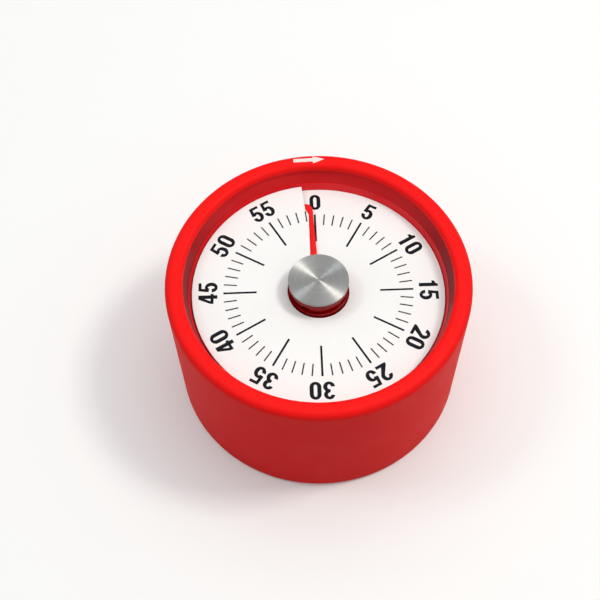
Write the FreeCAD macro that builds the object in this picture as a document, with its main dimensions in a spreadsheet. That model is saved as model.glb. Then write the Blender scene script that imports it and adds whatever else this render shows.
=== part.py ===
"""Visual countdown timer, sixty minutes, wound by its knob.

Lengths are in millimetres and angles in degrees. The timer lies on its back on z = 0 with its dial up.
+Y points to the 0 mark and +X to the 15 mark, so minutes run clockwise seen from above.
The dial is one turn of a screw with a slit at the 0 mark. The red disc has the same pitch and climbs
through the slit as the knob turns it clockwise.
"""
import FreeCAD, Part
import math
import os
from types import SimpleNamespace

import Sketcher
from FreeCAD import Placement, Rotation, Vector

DRIVING_SIZES = (
    ("case_radius", 40.0, "outside of the case at the rim"),
    ("case_draft", 0.9, "how much narrower the case is at its base"),
    ("rim_height", 8.1, "rim above the dial's 0 mark"),
    ("rim_width", 4.8, "rim, from its outside to its mouth"),
    ("rim_round", 2.0, "round of the rim's outer edge"),
    ("lip_round", 1.5, "round of the rim's inner edge"),
    ("lip_edge", 0.15, "straight edge below that round"),
    ("lip_undercut", 0.4, "groove under that edge"),
    ("lip_flare", 0.98, "lean of the rim's inner wall over its height"),
    ("arrow_ring", 37.7, "circle of the arrow sunk in the rim"),
    ("arrow_angle", 1.65, "middle of the arrow before the 0 mark"),
    ("arrow_length", 8.55, "arrow"),
    ("arrow_width", 1.2, "arrow's shaft"),
    ("arrow_head_length", 3.25, "arrow's head"),
    ("arrow_head_width", 2.5, "arrow's head"),
    ("arrow_depth", 0.1, "depth of the arrow in the rim"),
    ("base_round", 1.5, "round of the base's edge"),
    ("foot_thickness", 1.2, "turned-in foot of the sleeve"),
    ("foot_gap", 0.5, "between the foot and the rear cover"),
    ("sleeve_wall", 3.0, "side wall of the soft sleeve, at the rim"),
    ("sleeve_gap", 0.1, "between the sleeve and the housing"),
    ("housing_wall", 2.4, "side wall of the housing"),
    ("fit_gap", 0.1, "between pieces that drop into each other"),
    ("bezel_rise", 2.1, "top of the bezel above the dial's 0 mark"),
    ("bezel_flare", 0.7, "lean of the bezel's inner wall"),
    ("bezel_flange", 1.2, "flange of the bezel on the housing"),
    ("bezel_skirt", 1.7, "skirt of the bezel below its flange"),
    ("dial_edge_gap", 0.12, "between the dial and the bezel"),
    ("dial_thickness", 0.5, "dial sheet"),
    ("dial_pitch", 2.0, "height that the dial gains in one turn"),
    ("dial_hole_gap", 0.35, "between the disc's hub and the dial's hole"),
    ("slit_angle", 5.85, "raised edge of the dial before the 0 mark, at the rim"),
    ("slit_tail", 3.0, "angle that the low end runs on under the raised end"),
    ("slit_step_inset", 2.6, "raised edge's step towards the 0 mark, inside the disc's edge"),
    ("slit_step_drop", 1.6, "length of that step along the 0 mark"),
    ("slit_offset", 1.75, "raised edge beside the 0 mark, inside the step"),
    ("disc_margin", 5.1, "dial outside the red disc"),
    ("disc_thickness", 0.25, "red disc"),
    ("disc_sweep", 361.0, "angle of the red disc"),
    ("disc_lead_offset", 0.59, "leading edge beside the centre"),
    ("disc_lead_lean", 2.47, "angle of the leading edge to the 0 mark"),
    ("disc_corner", 2.0, "round of the leading edge's outer corner"),
    ("ledge_width", 4.4, "ledge of the carrier under the dial's edge"),
    ("hub_wall", 0.45, "wall of the disc's hub"),
    ("hub_gap", 0.1, "between the hub and the knob's neck"),
    ("hub_above", 2.2, "hub above the dial's 0 mark"),
    ("hub_below", 1.85, "hub below the dial's 0 mark"),
    ("key_depth", 0.5, "hub's keys in the neck's grooves"),
    ("key_width", 1.6, "hub's keys"),
    ("key_count", 3, "hub's keys"),
    ("key_gap", 0.15, "around each key"),
    ("neck_radius", 7.25, "knob's neck"),
    ("neck_below", 0.15, "neck below the hub"),
    ("neck_above", 0.3, "neck above the hub at the top of its climb"),
    ("knob_step", 0.5, "knob wider than its neck"),
    ("knob_height", 6.8, "top of the cap above the dial's 0 mark"),
    ("cap_overhang", 0.15, "metal cap wider than the knob"),
    ("cap_thickness", 0.45, "metal cap"),
    ("cap_chamfer", 0.12, "edge of the metal cap"),
    ("cap_cover", 1.95, "knob between the spindle's end and the cap"),
    ("cover_recess", 0.4, "rear cover above the base"),
    ("cover_thickness", 2.0, "rear cover"),
    ("slot_width", 2.0, "sound slots"),
    ("slot_length", 22.0, "sound slots"),
    ("slot_step", 5.0, "between the sound slots"),
    ("slot_count", 5, "sound slots"),
    ("bell_clearance", 1.3, "between the rear cover and the bell"),
    ("bell_radius", 24.0, "outside of the bell"),
    ("bell_thickness", 0.9, "bell"),
    ("bell_height", 7.0, "bell"),
    ("bell_round", 3.0, "bell's outer round"),
    ("bell_gap", 2.0, "between the bell's rim and the movement"),
    ("bell_post_radius", 3.0, "post of the bell"),
    ("plate_radius", 29.5, "movement plates"),
    ("plate_thickness", 1.2, "movement plates"),
    ("front_gap", 0.8, "between the third wheel and the front plate"),
    ("movement_gap", 4.7, "between the movement and the housing's shelf"),
    ("shelf_thickness", 1.2, "housing's shelf"),
    ("shelf_width", 6.5, "housing's shelf"),
    ("floor_thickness", 1.2, "floor of the dial carrier"),
    ("well_gap", 0.4, "between the carrier's floor and the lowest turn of the dial's screw"),
    ("pillar_radius", 2.0, "pillars"),
    ("pillar_tenon", 1.2, "pillars' riveted ends"),
    ("pillar_ring", 26.5, "circle of the pillars"),
    ("pillar_count", 4, "pillars"),
    ("pillar_lag", 30.0, "first pillar, clockwise of the second arbor"),
    ("screw_radius", 1.0, "all small screws"),
    ("screw_gap", 0.03, "around each screw"),
    ("screw_head_radius", 1.8, "screw heads"),
    ("screw_head", 1.0, "height of the screw heads"),
    ("screw_grip", 5.0, "length that a screw reaches into its post"),
    ("post_radius", 2.8, "housing's posts for the movement"),
    ("post_inset", 0.7, "between those posts and the housing's wall"),
    ("post_count", 3, "housing's posts for the movement"),
    ("post_lag", 15.0, "first of those posts, clockwise of the second arbor"),
    ("ear_margin", 0.4, "movement's ears around the posts"),
    ("boss_radius", 2.6, "housing's bosses for the rear cover"),
    ("boss_merge", 0.4, "bosses in the housing's wall"),
    ("boss_gap", 1.0, "between the bosses and the movement"),
    ("boss_count", 3, "bosses for the rear cover"),
    ("boss_bearing", 60.0, "first boss, from +X"),
    ("spindle_radius", 1.5, "spindle"),
    ("spindle_pivot", 1.0, "lower pivot of the spindle"),
    ("arbor_radius", 0.75, "arbors"),
    ("arbor_pivot", 0.5, "pivots of the arbors"),
    ("pivot_gap", 0.03, "around each pivot"),
    ("pivot_inset", 0.1, "pivots stop short of the plates' outer faces"),
    ("arbor_shoulder", 0.2, "arbors' shoulders stop short of the plates"),
    ("bush_radius", 3.0, "spindle's bush"),
    ("bush_flange", 4.2, "flange of the bush"),
    ("bush_flange_height", 0.8, "flange of the bush"),
    ("core_radius", 2.4, "core of the mainspring"),
    ("spring_width", 4.6, "mainspring"),
    ("spring_thickness", 0.35, "mainspring"),
    ("spring_step", 1.1, "between turns of the mainspring"),
    ("spring_gap", 0.05, "between the mainspring and its core"),
    ("spring_turns", 9, "turns of the mainspring"),
    ("spring_level", 0.8, "mainspring above the back plate"),
    ("anchor_radius", 1.1, "post that the mainspring's end holds to"),
    ("great_teeth", 60, "great wheel"),
    ("great_module", 0.5, "great wheel and second pinion"),
    ("great_gap", 0.9, "between the mainspring and the great wheel"),
    ("great_holes", 5, "holes in the great wheel"),
    ("great_hole_radius", 2.6, "holes in the great wheel"),
    ("great_hole_ring", 9.0, "circle of those holes"),
    ("wheel_thickness", 1.0, "wheels"),
    ("pinion_margin", 0.6, "pinions are longer than their wheels by this, each way"),
    ("pinion_teeth", 12, "second and third pinion"),
    ("second_teeth", 48, "second wheel"),
    ("second_module", 0.4, "second wheel and third pinion"),
    ("second_gap", 1.5, "between the great and second wheels"),
    ("second_bearing", -90.0, "second arbor from the spindle"),
    ("third_teeth", 40, "third wheel"),
    ("third_module", 0.35, "third wheel and escape pinion"),
    ("third_gap", 1.2, "between the second and third wheels"),
    ("third_bearing", 20.0, "third arbor from the second"),
    ("escape_leaves", 10, "escape pinion"),
    ("escape_bearing", 50.0, "escape arbor from the third"),
    ("escape_teeth", 15, "escape wheel"),
    ("escape_radius", 5.0, "escape wheel"),
    ("escape_tooth", 1.2, "depth of the escape wheel's teeth"),
    ("escape_share", 0.12, "part of the pitch that each of those teeth takes up"),
    ("escape_thickness", 0.8, "escape wheel"),
    ("escape_gap", 0.7, "between the great and escape wheels"),
    ("verge_distance", 7.0, "verge arbor from the escape arbor"),
    ("verge_bearing", 88.0, "verge arbor from the escape arbor"),
    ("verge_half_length", 6.0, "half of the verge's bar"),
    ("verge_width", 1.8, "verge's bar"),
    ("verge_thickness", 0.8, "verge's bar"),
    ("verge_gap", 0.4, "verge's bar above the escape wheel"),
    ("pallet_radius", 0.3, "pallet pins"),
    ("pallet_gap", 0.45, "between the escape wheel and the pallet pins"),
    ("pallet_spread", 35.0, "pallet pins, each side of the verge"),
    ("clutch_radius", 5.0, "clutch spring on the great wheel"),
    ("clutch_tip_radius", 2.6, "clutch spring under its collar"),
    ("clutch_height", 1.1, "clutch spring"),
    ("clutch_sheet", 0.35, "clutch spring"),
    ("collar_radius", 3.0, "clutch collar"),
    ("collar_height", 1.4, "clutch collar"),
    ("cam_radius", 4.5, "release cam"),
    ("cam_thickness", 1.2, "release cam"),
    ("cam_notch", 1.2, "notch of the release cam"),
    ("striker_gap", 1.05, "between the great wheel and the striker arbor"),
    ("striker_bearing", 144.5, "striker arbor from the spindle"),
    ("striker_nose_gap", 0.4, "between the striker and the cam"),
    ("striker_width", 2.4, "striker's levers"),
    ("striker_thickness", 1.2, "striker's levers"),
    ("striker_drop", 2.0, "lower lever inside the bell, below its rim"),
    ("striker_head_radius", 1.6, "striker's head"),
    ("striker_head_gap", 0.6, "between the striker's head and the bell"),
    ("striker_head_swing", 40.0, "head from the arbor, around the spindle"),
    ("staking_gap", 0.01, "between a wheel and the arbor that it is staked on"),
)
SHEET_NAME = "sizes"
FULL_TURN = 360.0
FACET_ANGLE = 4.0
SPARE_ANGLE = 2.0
SPARE_REACH = 5.0
TOUCH = 1e-6

doc = FreeCAD.newDocument("countdown_timer")
nodes = {}


class Size:
    """A length or an angle: its value now and the sheet expression that gives it."""

    def __init__(self, value, text):
        self.value = value
        self.text = text

    @staticmethod
    def of(thing):
        """Gives a plain number the same form as a size."""
        return thing if isinstance(thing, Size) else Size(thing, repr(thing))

    def __add__(self, other):
        other = Size.of(other)
        return Size(self.value + other.value, f"({self.text} + {other.text})")

    def __sub__(self, other):
        other = Size.of(other)
        return Size(self.value - other.value, f"({self.text} - {other.text})")

    def __mul__(self, other):
        other = Size.of(other)
        return Size(self.value * other.value, f"({self.text} * {other.text})")

    def __truediv__(self, other):
        other = Size.of(other)
        return Size(self.value / other.value, f"({self.text} / {other.text})")

    def __neg__(self):
        return Size(-self.value, f"(0 - {self.text})")

    __radd__ = __add__
    __rmul__ = __mul__


def make_sheet():
    """Writes the driving sizes to the sheet and gives them back by name."""
    sheet = doc.addObject("Spreadsheet::Sheet", SHEET_NAME)
    for row, (alias, value, note) in enumerate(DRIVING_SIZES, start=1):
        sheet.set(f"A{row}", note)
        sheet.set(f"B{row}", str(value))
        sheet.setAlias(f"B{row}", alias)
    doc.recompute()
    return SimpleNamespace(
        **{alias: Size(float(sheet.get(alias)), f"{SHEET_NAME}.{alias}") for alias, _, _ in DRIVING_SIZES}
    )


d = make_sheet()
NOTHING = Size(0.0, "0")


def polar(radius, bearing, centre=(NOTHING, NOTHING)):
    """Place at a radius and bearing from a centre; bearings count anticlockwise from +X."""
    radius = Size.of(radius)
    bearing = Size.of(bearing)
    turn = math.radians(bearing.value)
    x = Size(radius.value * math.cos(turn), f"({radius.text} * cos({bearing.text}))")
    y = Size(radius.value * math.sin(turn), f"({radius.text} * sin({bearing.text}))")
    return centre[0] + x, centre[1] + y


def ring_of_places(count, ring, bearing):
    """Evenly spaced places on a circle."""
    step = FULL_TURN / round(count.value)
    return [polar(ring, Size.of(bearing) + index * step) for index in range(round(count.value))]


def bind(thing, name, size):
    """Ties a property of an object to a size."""
    thing.setExpression(name, Size.of(size).text)


def seat(thing, level=NOTHING, place=(NOTHING, NOTHING)):
    """Ties an object's position to its level and its place in plan."""
    bind(thing, ".Placement.Base.x", place[0])
    bind(thing, ".Placement.Base.y", place[1])
    bind(thing, ".Placement.Base.z", level)
    return thing


def cylinder(name, radius, height, level=NOTHING, place=(NOTHING, NOTHING)):
    thing = doc.addObject("Part::Cylinder", name)
    bind(thing, "Radius", radius)
    bind(thing, "Height", height)
    return seat(thing, level, place)


def box(name, length, width, height, level, place, bearing=0.0):
    """Box from a corner, turned about that corner."""
    thing = doc.addObject("Part::Box", name)
    bind(thing, "Length", length)
    bind(thing, "Width", width)
    bind(thing, "Height", height)
    thing.Placement = Placement(Vector(), Rotation(Vector(0, 0, 1), bearing))
    return seat(thing, level, place)


def fuse(name, pieces):
    if len(pieces) == 1:
        return pieces[0]
    thing = doc.addObject("Part::MultiFuse", name)
    thing.Shapes = pieces
    return thing


def cut(name, base, tools):
    thing = doc.addObject("Part::Cut", name)
    thing.Base = base
    thing.Tool = fuse(f"{name}_tools", tools)
    return thing


def group(name, pieces):
    """Identical loose pieces that share one node."""
    thing = doc.addObject("Part::Compound", name)
    thing.Links = pieces
    return thing


def tube(name, outer, inner, height, level=NOTHING, place=(NOTHING, NOTHING)):
    solid = cylinder(f"{name}_outside", outer, height, level, place)
    hole = cylinder(f"{name}_bore", inner, height, level, place)
    return cut(name, solid, [hole])


def outline(sketch, corners):
    """Closed outline whose corners are tied to sizes."""
    count = len(corners)
    for here, there in zip(corners, corners[1:] + corners[:1]):
        start = Vector(here[0].value, here[1].value, 0)
        end = Vector(there[0].value, there[1].value, 0)
        sketch.addGeometry(Part.LineSegment(start, end), False)
    for index in range(count):
        sketch.addConstraint(Sketcher.Constraint("Coincident", index, 2, (index + 1) % count, 1))
    for index, corner in enumerate(corners):
        for kind, size, axis in (("DistanceX", corner[0], -2), ("DistanceY", corner[1], -1)):
            if abs(size.value) < TOUCH:
                sketch.addConstraint(Sketcher.Constraint("PointOnObject", index, 1, axis))
                continue
            number = sketch.addConstraint(Sketcher.Constraint(kind, -1, 1, index, 1, size.value))
            sketch.setExpression(f"Constraints[{number}]", size.text)


def revolved(name, corners):
    """Body turned about Z from an outline of (radius, level) corners."""
    body = doc.addObject("PartDesign::Body", name)
    sketch = body.newObject("Sketcher::SketchObject", f"{name}_profile")
    plane = next(part for part in body.Origin.OriginFeatures if part.Role == "XZ_Plane")
    sketch.AttachmentSupport = [(plane, "")]
    sketch.MapMode = "FlatFace"
    outline(sketch, corners)
    turned = body.newObject("PartDesign::Revolution", f"{name}_turned")
    turned.Profile = sketch
    turned.ReferenceAxis = (sketch, ["V_Axis"])
    turned.Angle = FULL_TURN
    doc.recompute()
    return body


def dressed(body, kind, size_name, size, corners):
    """Rounds or bevels the circular edges of a turned body that lie at the given corners."""
    base = body.Tip
    edges = []
    for number, edge in enumerate(base.Shape.Edges, start=1):
        if not isinstance(edge.Curve, Part.Circle):
            continue
        for radius, level in corners:
            same_radius = abs(edge.Curve.Radius - radius.value) < TOUCH
            if same_radius and abs(edge.Curve.Center.z - level.value) < TOUCH:
                edges.append(f"Edge{number}")
    if len(edges) != len(corners):
        raise RuntimeError(f"{body.Name}: {len(edges)} of {len(corners)} edges found")
    feature = body.newObject(kind, f"{body.Name}_edges_{len(body.Group)}")
    feature.Base = (base, edges)
    bind(feature, size_name, size)
    doc.recompute()
    return body


def rounded(body, radius, corners):
    return dressed(body, "PartDesign::Fillet", "Radius", radius, corners)


def bevelled(body, size, corners):
    return dressed(body, "PartDesign::Chamfer", "Size", size, corners)


def shaped(name, shape, level=NOTHING, place=(NOTHING, NOTHING), bearing=0.0):
    """Free shape made at the origin, then turned and seated."""
    thing = doc.addObject("Part::Feature", name)
    thing.Shape = shape
    thing.Placement = Placement(Vector(), Rotation(Vector(0, 0, 1), bearing))
    return seat(thing, level, place)


def node(name, thing):
    """Names an object as one piece of the timer."""
    thing.Label = name
    nodes[name] = thing
    return thing


def dial_point(radius, angle, level):
    """Point at a clockwise angle from the 0 mark."""
    turn = math.radians(angle)
    return Vector(radius * math.sin(turn), radius * math.cos(turn), level)


def winding(inner, outer, start, sweep, under, over):
    """Solid between two surfaces whose level depends on the clockwise angle alone."""
    steps = math.ceil(sweep / FACET_ANGLE)
    angles = [start + FACET_ANGLE * step for step in range(steps)] + [start + sweep]
    faces = []

    def add(*points):
        faces.append(Part.Face(Part.makePolygon([*points, points[0]])))

    def rung(angle, surface):
        level = surface(angle)
        return dial_point(inner, angle, level), dial_point(outer, angle, level)

    for first, second in zip(angles, angles[1:]):
        for surface in (under, over):
            inner_a, outer_a = rung(first, surface)
            inner_b, outer_b = rung(second, surface)
            add(inner_a, outer_a, outer_b)
            add(inner_a, outer_b, inner_b)
        for side in (0, 1):
            low_a, low_b = rung(first, under)[side], rung(second, under)[side]
            high_a, high_b = rung(first, over)[side], rung(second, over)[side]
            add(low_a, low_b, high_b, high_a)
    for angle in (angles[0], angles[-1]):
        (inner_low, outer_low), (inner_high, outer_high) = rung(angle, under), rung(angle, over)
        add(inner_low, outer_low, outer_high, inner_high)
    shell = Part.makeShell(faces)
    shell.sewShape()
    solid = Part.makeSolid(shell)
    if solid.Volume < 0:
        solid.reverse()
    return solid


def prism(wire, low, high):
    """Straight prism over a closed outline drawn at z = 0."""
    face = Part.Face(wire)
    face.translate(Vector(0, 0, low))
    return face.extrude(Vector(0, 0, high - low))


def screw_climb(angle):
    """Height of the dial's screw at a clockwise angle."""
    return d.dial_pitch.value * angle / FULL_TURN


# Levels, from the base up.
cover_top = d.cover_recess + d.cover_thickness
bell_level = cover_top + d.bell_clearance
bell_rim = bell_level + d.bell_height
back_plate_level = bell_rim + d.bell_gap
back_plate_top = back_plate_level + d.plate_thickness
spring_level = back_plate_top + d.spring_level
great_level = spring_level + d.spring_width + d.great_gap
great_top = great_level + d.wheel_thickness
escape_level = great_top + d.escape_gap
second_level = great_top + d.second_gap
third_level = second_level + d.wheel_thickness + d.third_gap
front_plate_level = third_level + d.wheel_thickness + d.front_gap
front_plate_top = front_plate_level + d.plate_thickness
movement_space = front_plate_level - back_plate_top
shelf_level = front_plate_top + d.movement_gap
carrier_level = shelf_level + d.shelf_thickness
carrier_floor = carrier_level + d.floor_thickness
well_depth = d.dial_pitch + d.well_gap
dial_level = carrier_floor + well_depth
bezel_top = dial_level + d.bezel_rise
bezel_seat = bezel_top - d.bezel_flange
bezel_foot = bezel_seat - d.bezel_skirt
rim_top = dial_level + d.rim_height
lip_foot = rim_top - d.lip_round - d.lip_edge

# Radii, from the outside of the case in.
base_radius = d.case_radius - d.case_draft
sleeve_bore = d.case_radius - d.sleeve_wall
housing_radius = sleeve_bore - d.sleeve_gap
housing_bore = housing_radius - d.housing_wall
insert_radius = housing_bore - d.fit_gap
foot_bore = insert_radius + d.foot_gap
lip_mouth = d.case_radius - d.rim_width
lip_bore = lip_mouth - d.lip_flare
bezel_mouth = lip_bore - d.fit_gap
bezel_bore = bezel_mouth - d.bezel_flare
dial_radius = bezel_bore - d.dial_edge_gap
disc_radius = dial_radius - d.disc_margin
ledge_inner = dial_radius - d.ledge_width - d.fit_gap
shelf_bore = housing_bore - d.shelf_width
post_ring = housing_bore - d.post_radius - d.post_inset
boss_ring = housing_bore - d.boss_radius + d.boss_merge

# Radii of the knob and hub, from the neck out.
hub_bore = d.neck_radius + d.hub_gap
hub_radius = hub_bore + d.hub_wall
dial_hole = hub_radius + d.dial_hole_gap
knob_radius = d.neck_radius + d.knob_step


def make_case():
    """Sleeve, housing, bezel and rear cover."""
    sleeve = revolved(
        "sleeve",
        [
            (foot_bore, NOTHING),
            (base_radius, NOTHING),
            (d.case_radius, rim_top),
            (lip_mouth, rim_top),
            (lip_mouth, lip_foot),
            (lip_mouth + d.lip_undercut, lip_foot - d.lip_undercut),
            (lip_bore, bezel_top),
            (sleeve_bore, bezel_top),
            (sleeve_bore, d.foot_thickness),
            (foot_bore, d.foot_thickness),
        ],
    )
    rounded(sleeve, d.rim_round, [(d.case_radius, rim_top)])
    rounded(sleeve, d.lip_round, [(lip_mouth, rim_top)])
    rounded(sleeve, d.base_round, [(base_radius, NOTHING)])
    arrow = shaped("arrow", arrow_shape(), rim_top, bearing=d.arrow_angle.value)
    node("case_sleeve", cut("sleeve_with_arrow", sleeve, [arrow]))

    housing_foot = d.foot_thickness + d.fit_gap
    tub = revolved(
        "tub",
        [
            (housing_bore, housing_foot),
            (housing_radius, housing_foot),
            (housing_radius, bezel_seat),
            (housing_bore, bezel_seat),
            (housing_bore, carrier_level),
            (shelf_bore, carrier_level),
            (shelf_bore, shelf_level),
            (housing_bore, shelf_level),
        ],
    )
    posts = []
    holes = []
    for number, place in enumerate(post_places):
        posts.append(cylinder(f"post_{number}", d.post_radius, d.movement_gap, front_plate_top, place))
        holes.append(screw_hole(f"post_hole_{number}", front_plate_top, place))
    for number, place in enumerate(boss_places):
        boss_height = back_plate_level - d.boss_gap - cover_top
        posts.append(cylinder(f"boss_{number}", d.boss_radius, boss_height, cover_top, place))
        holes.append(screw_hole(f"boss_hole_{number}", cover_top, place))
    node("inner_housing", cut("housing", fuse("tub_with_posts", [tub] + posts), holes))

    bezel = revolved(
        "bezel",
        [
            (bezel_bore, bezel_foot),
            (insert_radius, bezel_foot),
            (insert_radius, bezel_seat),
            (housing_radius, bezel_seat),
            (housing_radius, bezel_top),
            (bezel_mouth, bezel_top),
            (bezel_bore, dial_level),
        ],
    )
    node("dial_bezel", bezel)

    plate = cylinder("cover_plate", insert_radius, d.cover_thickness, d.cover_recess)
    openings = []
    for number, place in enumerate(boss_places):
        hole = d.screw_radius + d.screw_gap
        openings.append(cylinder(f"cover_hole_{number}", hole, d.cover_thickness, d.cover_recess, place))
        counterbore = d.screw_head_radius + d.fit_gap
        depth = d.screw_head + d.fit_gap
        openings.append(cylinder(f"cover_counterbore_{number}", counterbore, depth, d.cover_recess, place))
    count = round(d.slot_count.value)
    for number in range(count):
        across = d.slot_step * (number - (count - 1) / 2) - d.slot_width / 2
        corner = (-(d.slot_length / 2), across)
        slot = box(f"slot_{number}", d.slot_length, d.slot_width, d.cover_thickness, d.cover_recess, corner)
        openings.append(slot)
    node("rear_cover", cut("cover", plate, openings))
    screws = [
        screw(f"cover_screw_{number}", cover_top - d.cover_thickness + d.screw_head, place, 1)
        for number, place in enumerate(boss_places)
    ]
    node("cover_screws", group("cover_screws", screws))


def arrow_shape():
    """Arrow across the +Y axis that points the way the knob is set, from its floor to above the rim."""
    ring = d.arrow_ring.value
    tip = d.arrow_length.value / 2
    neck = tip - d.arrow_head_length.value
    half = d.arrow_width.value / 2
    barb = d.arrow_head_width.value / 2
    upper = [(-tip, half), (neck, half), (neck, barb)]
    lower = [(x, -y) for x, y in reversed(upper)]
    points = [Vector(x, ring + y, 0) for x, y in [*upper, (tip, 0), *lower]]
    return prism(Part.makePolygon(points + points[:1]), -d.arrow_depth.value, SPARE_REACH)


def screw_hole(name, level, place):
    """Blind hole for a screw that goes up from its mouth."""
    return cylinder(name, d.screw_radius + d.screw_gap, d.screw_grip, level, place)


def screw(name, seat_level, place, heads_down, grip=None):
    """Screw whose head bears at seat_level; heads_down is 1 where the head is below and -1 above."""
    reach = grip or d.cover_thickness - d.screw_head + d.screw_grip - d.fit_gap
    if heads_down == 1:
        head_level, shank_level = seat_level - d.screw_head, seat_level
    else:
        head_level, shank_level = seat_level, seat_level - reach
    head = cylinder(f"{name}_head", d.screw_head_radius, d.screw_head, head_level, place)
    shank = cylinder(f"{name}_shank", d.screw_radius, reach, shank_level, place)
    return fuse(name, [head, shank])


def make_dial():
    """Carrier, dial, red disc and hub."""
    floor = revolved(
        "carrier_floor",
        [
            (d.bush_radius, carrier_level),
            (insert_radius, carrier_level),
            (insert_radius, bezel_foot),
            (bezel_bore, bezel_foot),
            (bezel_bore, carrier_floor),
            (d.bush_radius, carrier_floor),
        ],
    )
    start = -(d.slit_angle.value + d.slit_tail.value)
    ledge = winding(
        dial_hole.value,
        dial_radius.value,
        start,
        FULL_TURN - d.slit_tail.value / 2,
        lambda angle: -well_depth.value - d.floor_thickness.value / 2,
        lambda angle: screw_climb(angle) - d.dial_thickness.value,
    )
    middle = Part.makeCylinder(ledge_inner.value, 2 * well_depth.value + 2 * d.floor_thickness.value)
    middle.translate(Vector(0, 0, -well_depth.value - d.floor_thickness.value))
    ledge = ledge.cut(middle)
    node("dial_carrier", fuse("carrier", [floor, shaped("carrier_ledge", ledge, dial_level)]))
    bush = tube("bush", d.bush_radius, d.spindle_radius + d.pivot_gap, d.floor_thickness, carrier_level)
    flange = tube(
        "bush_flange",
        d.bush_flange,
        d.spindle_radius + d.pivot_gap,
        d.bush_flange_height,
        carrier_level - d.bush_flange_height,
    )
    node("spindle_bush", fuse("spindle_bush", [bush, flange]))
    node("dial_plate", shaped("dial", dial_shape(start), dial_level))
    disc_lift = (d.dial_pitch - d.dial_thickness - d.disc_thickness) / 2
    node("timer_disc", shaped("disc", disc_shape(), dial_level + disc_lift))
    make_hub()


def dial_shape(start):
    """Dial sheet: low end under the 0 mark, raised end trimmed to the slit's stepped edge."""
    sheet = winding(
        dial_hole.value,
        dial_radius.value,
        start,
        FULL_TURN - SPARE_ANGLE - start,
        lambda angle: screw_climb(angle) - d.dial_thickness.value,
        screw_climb,
    )
    far = dial_radius.value + SPARE_REACH
    step = dial_point((disc_radius - d.slit_step_inset).value, -d.slit_angle.value, 0)
    corners = [
        dial_point(far, -d.slit_angle.value, 0),
        step,
        Vector(-d.slit_offset.value, step.y - d.slit_step_drop.value, 0),
        Vector(-d.slit_offset.value, 0, 0),
        Vector(SPARE_REACH, 0, 0),
        Vector(SPARE_REACH, far, 0),
    ]
    trimming = prism(Part.makePolygon(corners + corners[:1]), d.dial_pitch.value / 4, d.dial_pitch.value * 2)
    return sheet.cut(trimming)


def disc_shape():
    """Red disc: its leading edge is straight, leans a little and has a rounded outer corner."""
    lead = SPARE_ANGLE + FACET_ANGLE
    sheet = winding(
        hub_radius.value / math.cos(math.radians(FACET_ANGLE / 2)),
        disc_radius.value,
        -d.disc_sweep.value,
        d.disc_sweep.value + lead,
        screw_climb,
        lambda angle: screw_climb(angle) + d.disc_thickness.value,
    )
    lean = math.radians(d.disc_lead_lean.value)
    along = Vector(-math.sin(lean), math.cos(lean), 0)
    inward = Vector(-math.cos(lean), -math.sin(lean), 0)
    origin = Vector(d.disc_lead_offset.value, 0, 0)
    corner = d.disc_corner.value
    radius = disc_radius.value
    from_line = origin + inward * corner
    run = -from_line.dot(along) + math.sqrt(
        from_line.dot(along) ** 2 - from_line.Length ** 2 + (radius - corner) ** 2
    )
    centre = from_line + along * run
    on_line = centre - inward * corner
    on_rim = centre * (radius / centre.Length)
    middle = centre + ((on_line - centre) + (on_rim - centre)).normalize() * corner
    far = radius + lead
    wire = Part.Wire(
        [
            Part.LineSegment(origin, on_line).toShape(),
            Part.Arc(on_line, middle, on_rim).toShape(),
            Part.LineSegment(on_rim, on_rim * (far / radius)).toShape(),
            Part.LineSegment(on_rim * (far / radius), Vector(far, far, 0)).toShape(),
            Part.LineSegment(Vector(far, far, 0), Vector(far, 0, 0)).toShape(),
            Part.LineSegment(Vector(far, 0, 0), origin).toShape(),
        ]
    )
    pitch = d.dial_pitch.value
    return sheet.cut(prism(wire, -pitch / 4, pitch))


def make_hub():
    """Ring around the knob's neck, keyed so that it turns with the knob and can climb."""
    level = dial_level - d.hub_below
    height = d.hub_above + d.hub_below
    ring = tube("hub_ring", hub_radius, hub_bore, height, level)
    key_length = d.key_depth + d.hub_wall / 2
    keys = key_boxes("hub_key", hub_bore - d.key_depth, key_length, d.key_width, height, level)
    node("disc_hub", fuse("hub", [ring] + keys))


def key_boxes(name, from_radius, depth, width, height, level):
    """Boxes that stand radially around the axis, one for each key."""
    boxes = []
    count = round(d.key_count.value)
    for number in range(count):
        bearing = FULL_TURN * number / count
        x, y = polar(from_radius, bearing)
        side = polar(width / 2, bearing - 90.0)
        corner = (x + side[0], y + side[1])
        boxes.append(box(f"{name}_{number}", depth, width, height, level, corner, bearing))
    return boxes


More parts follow.
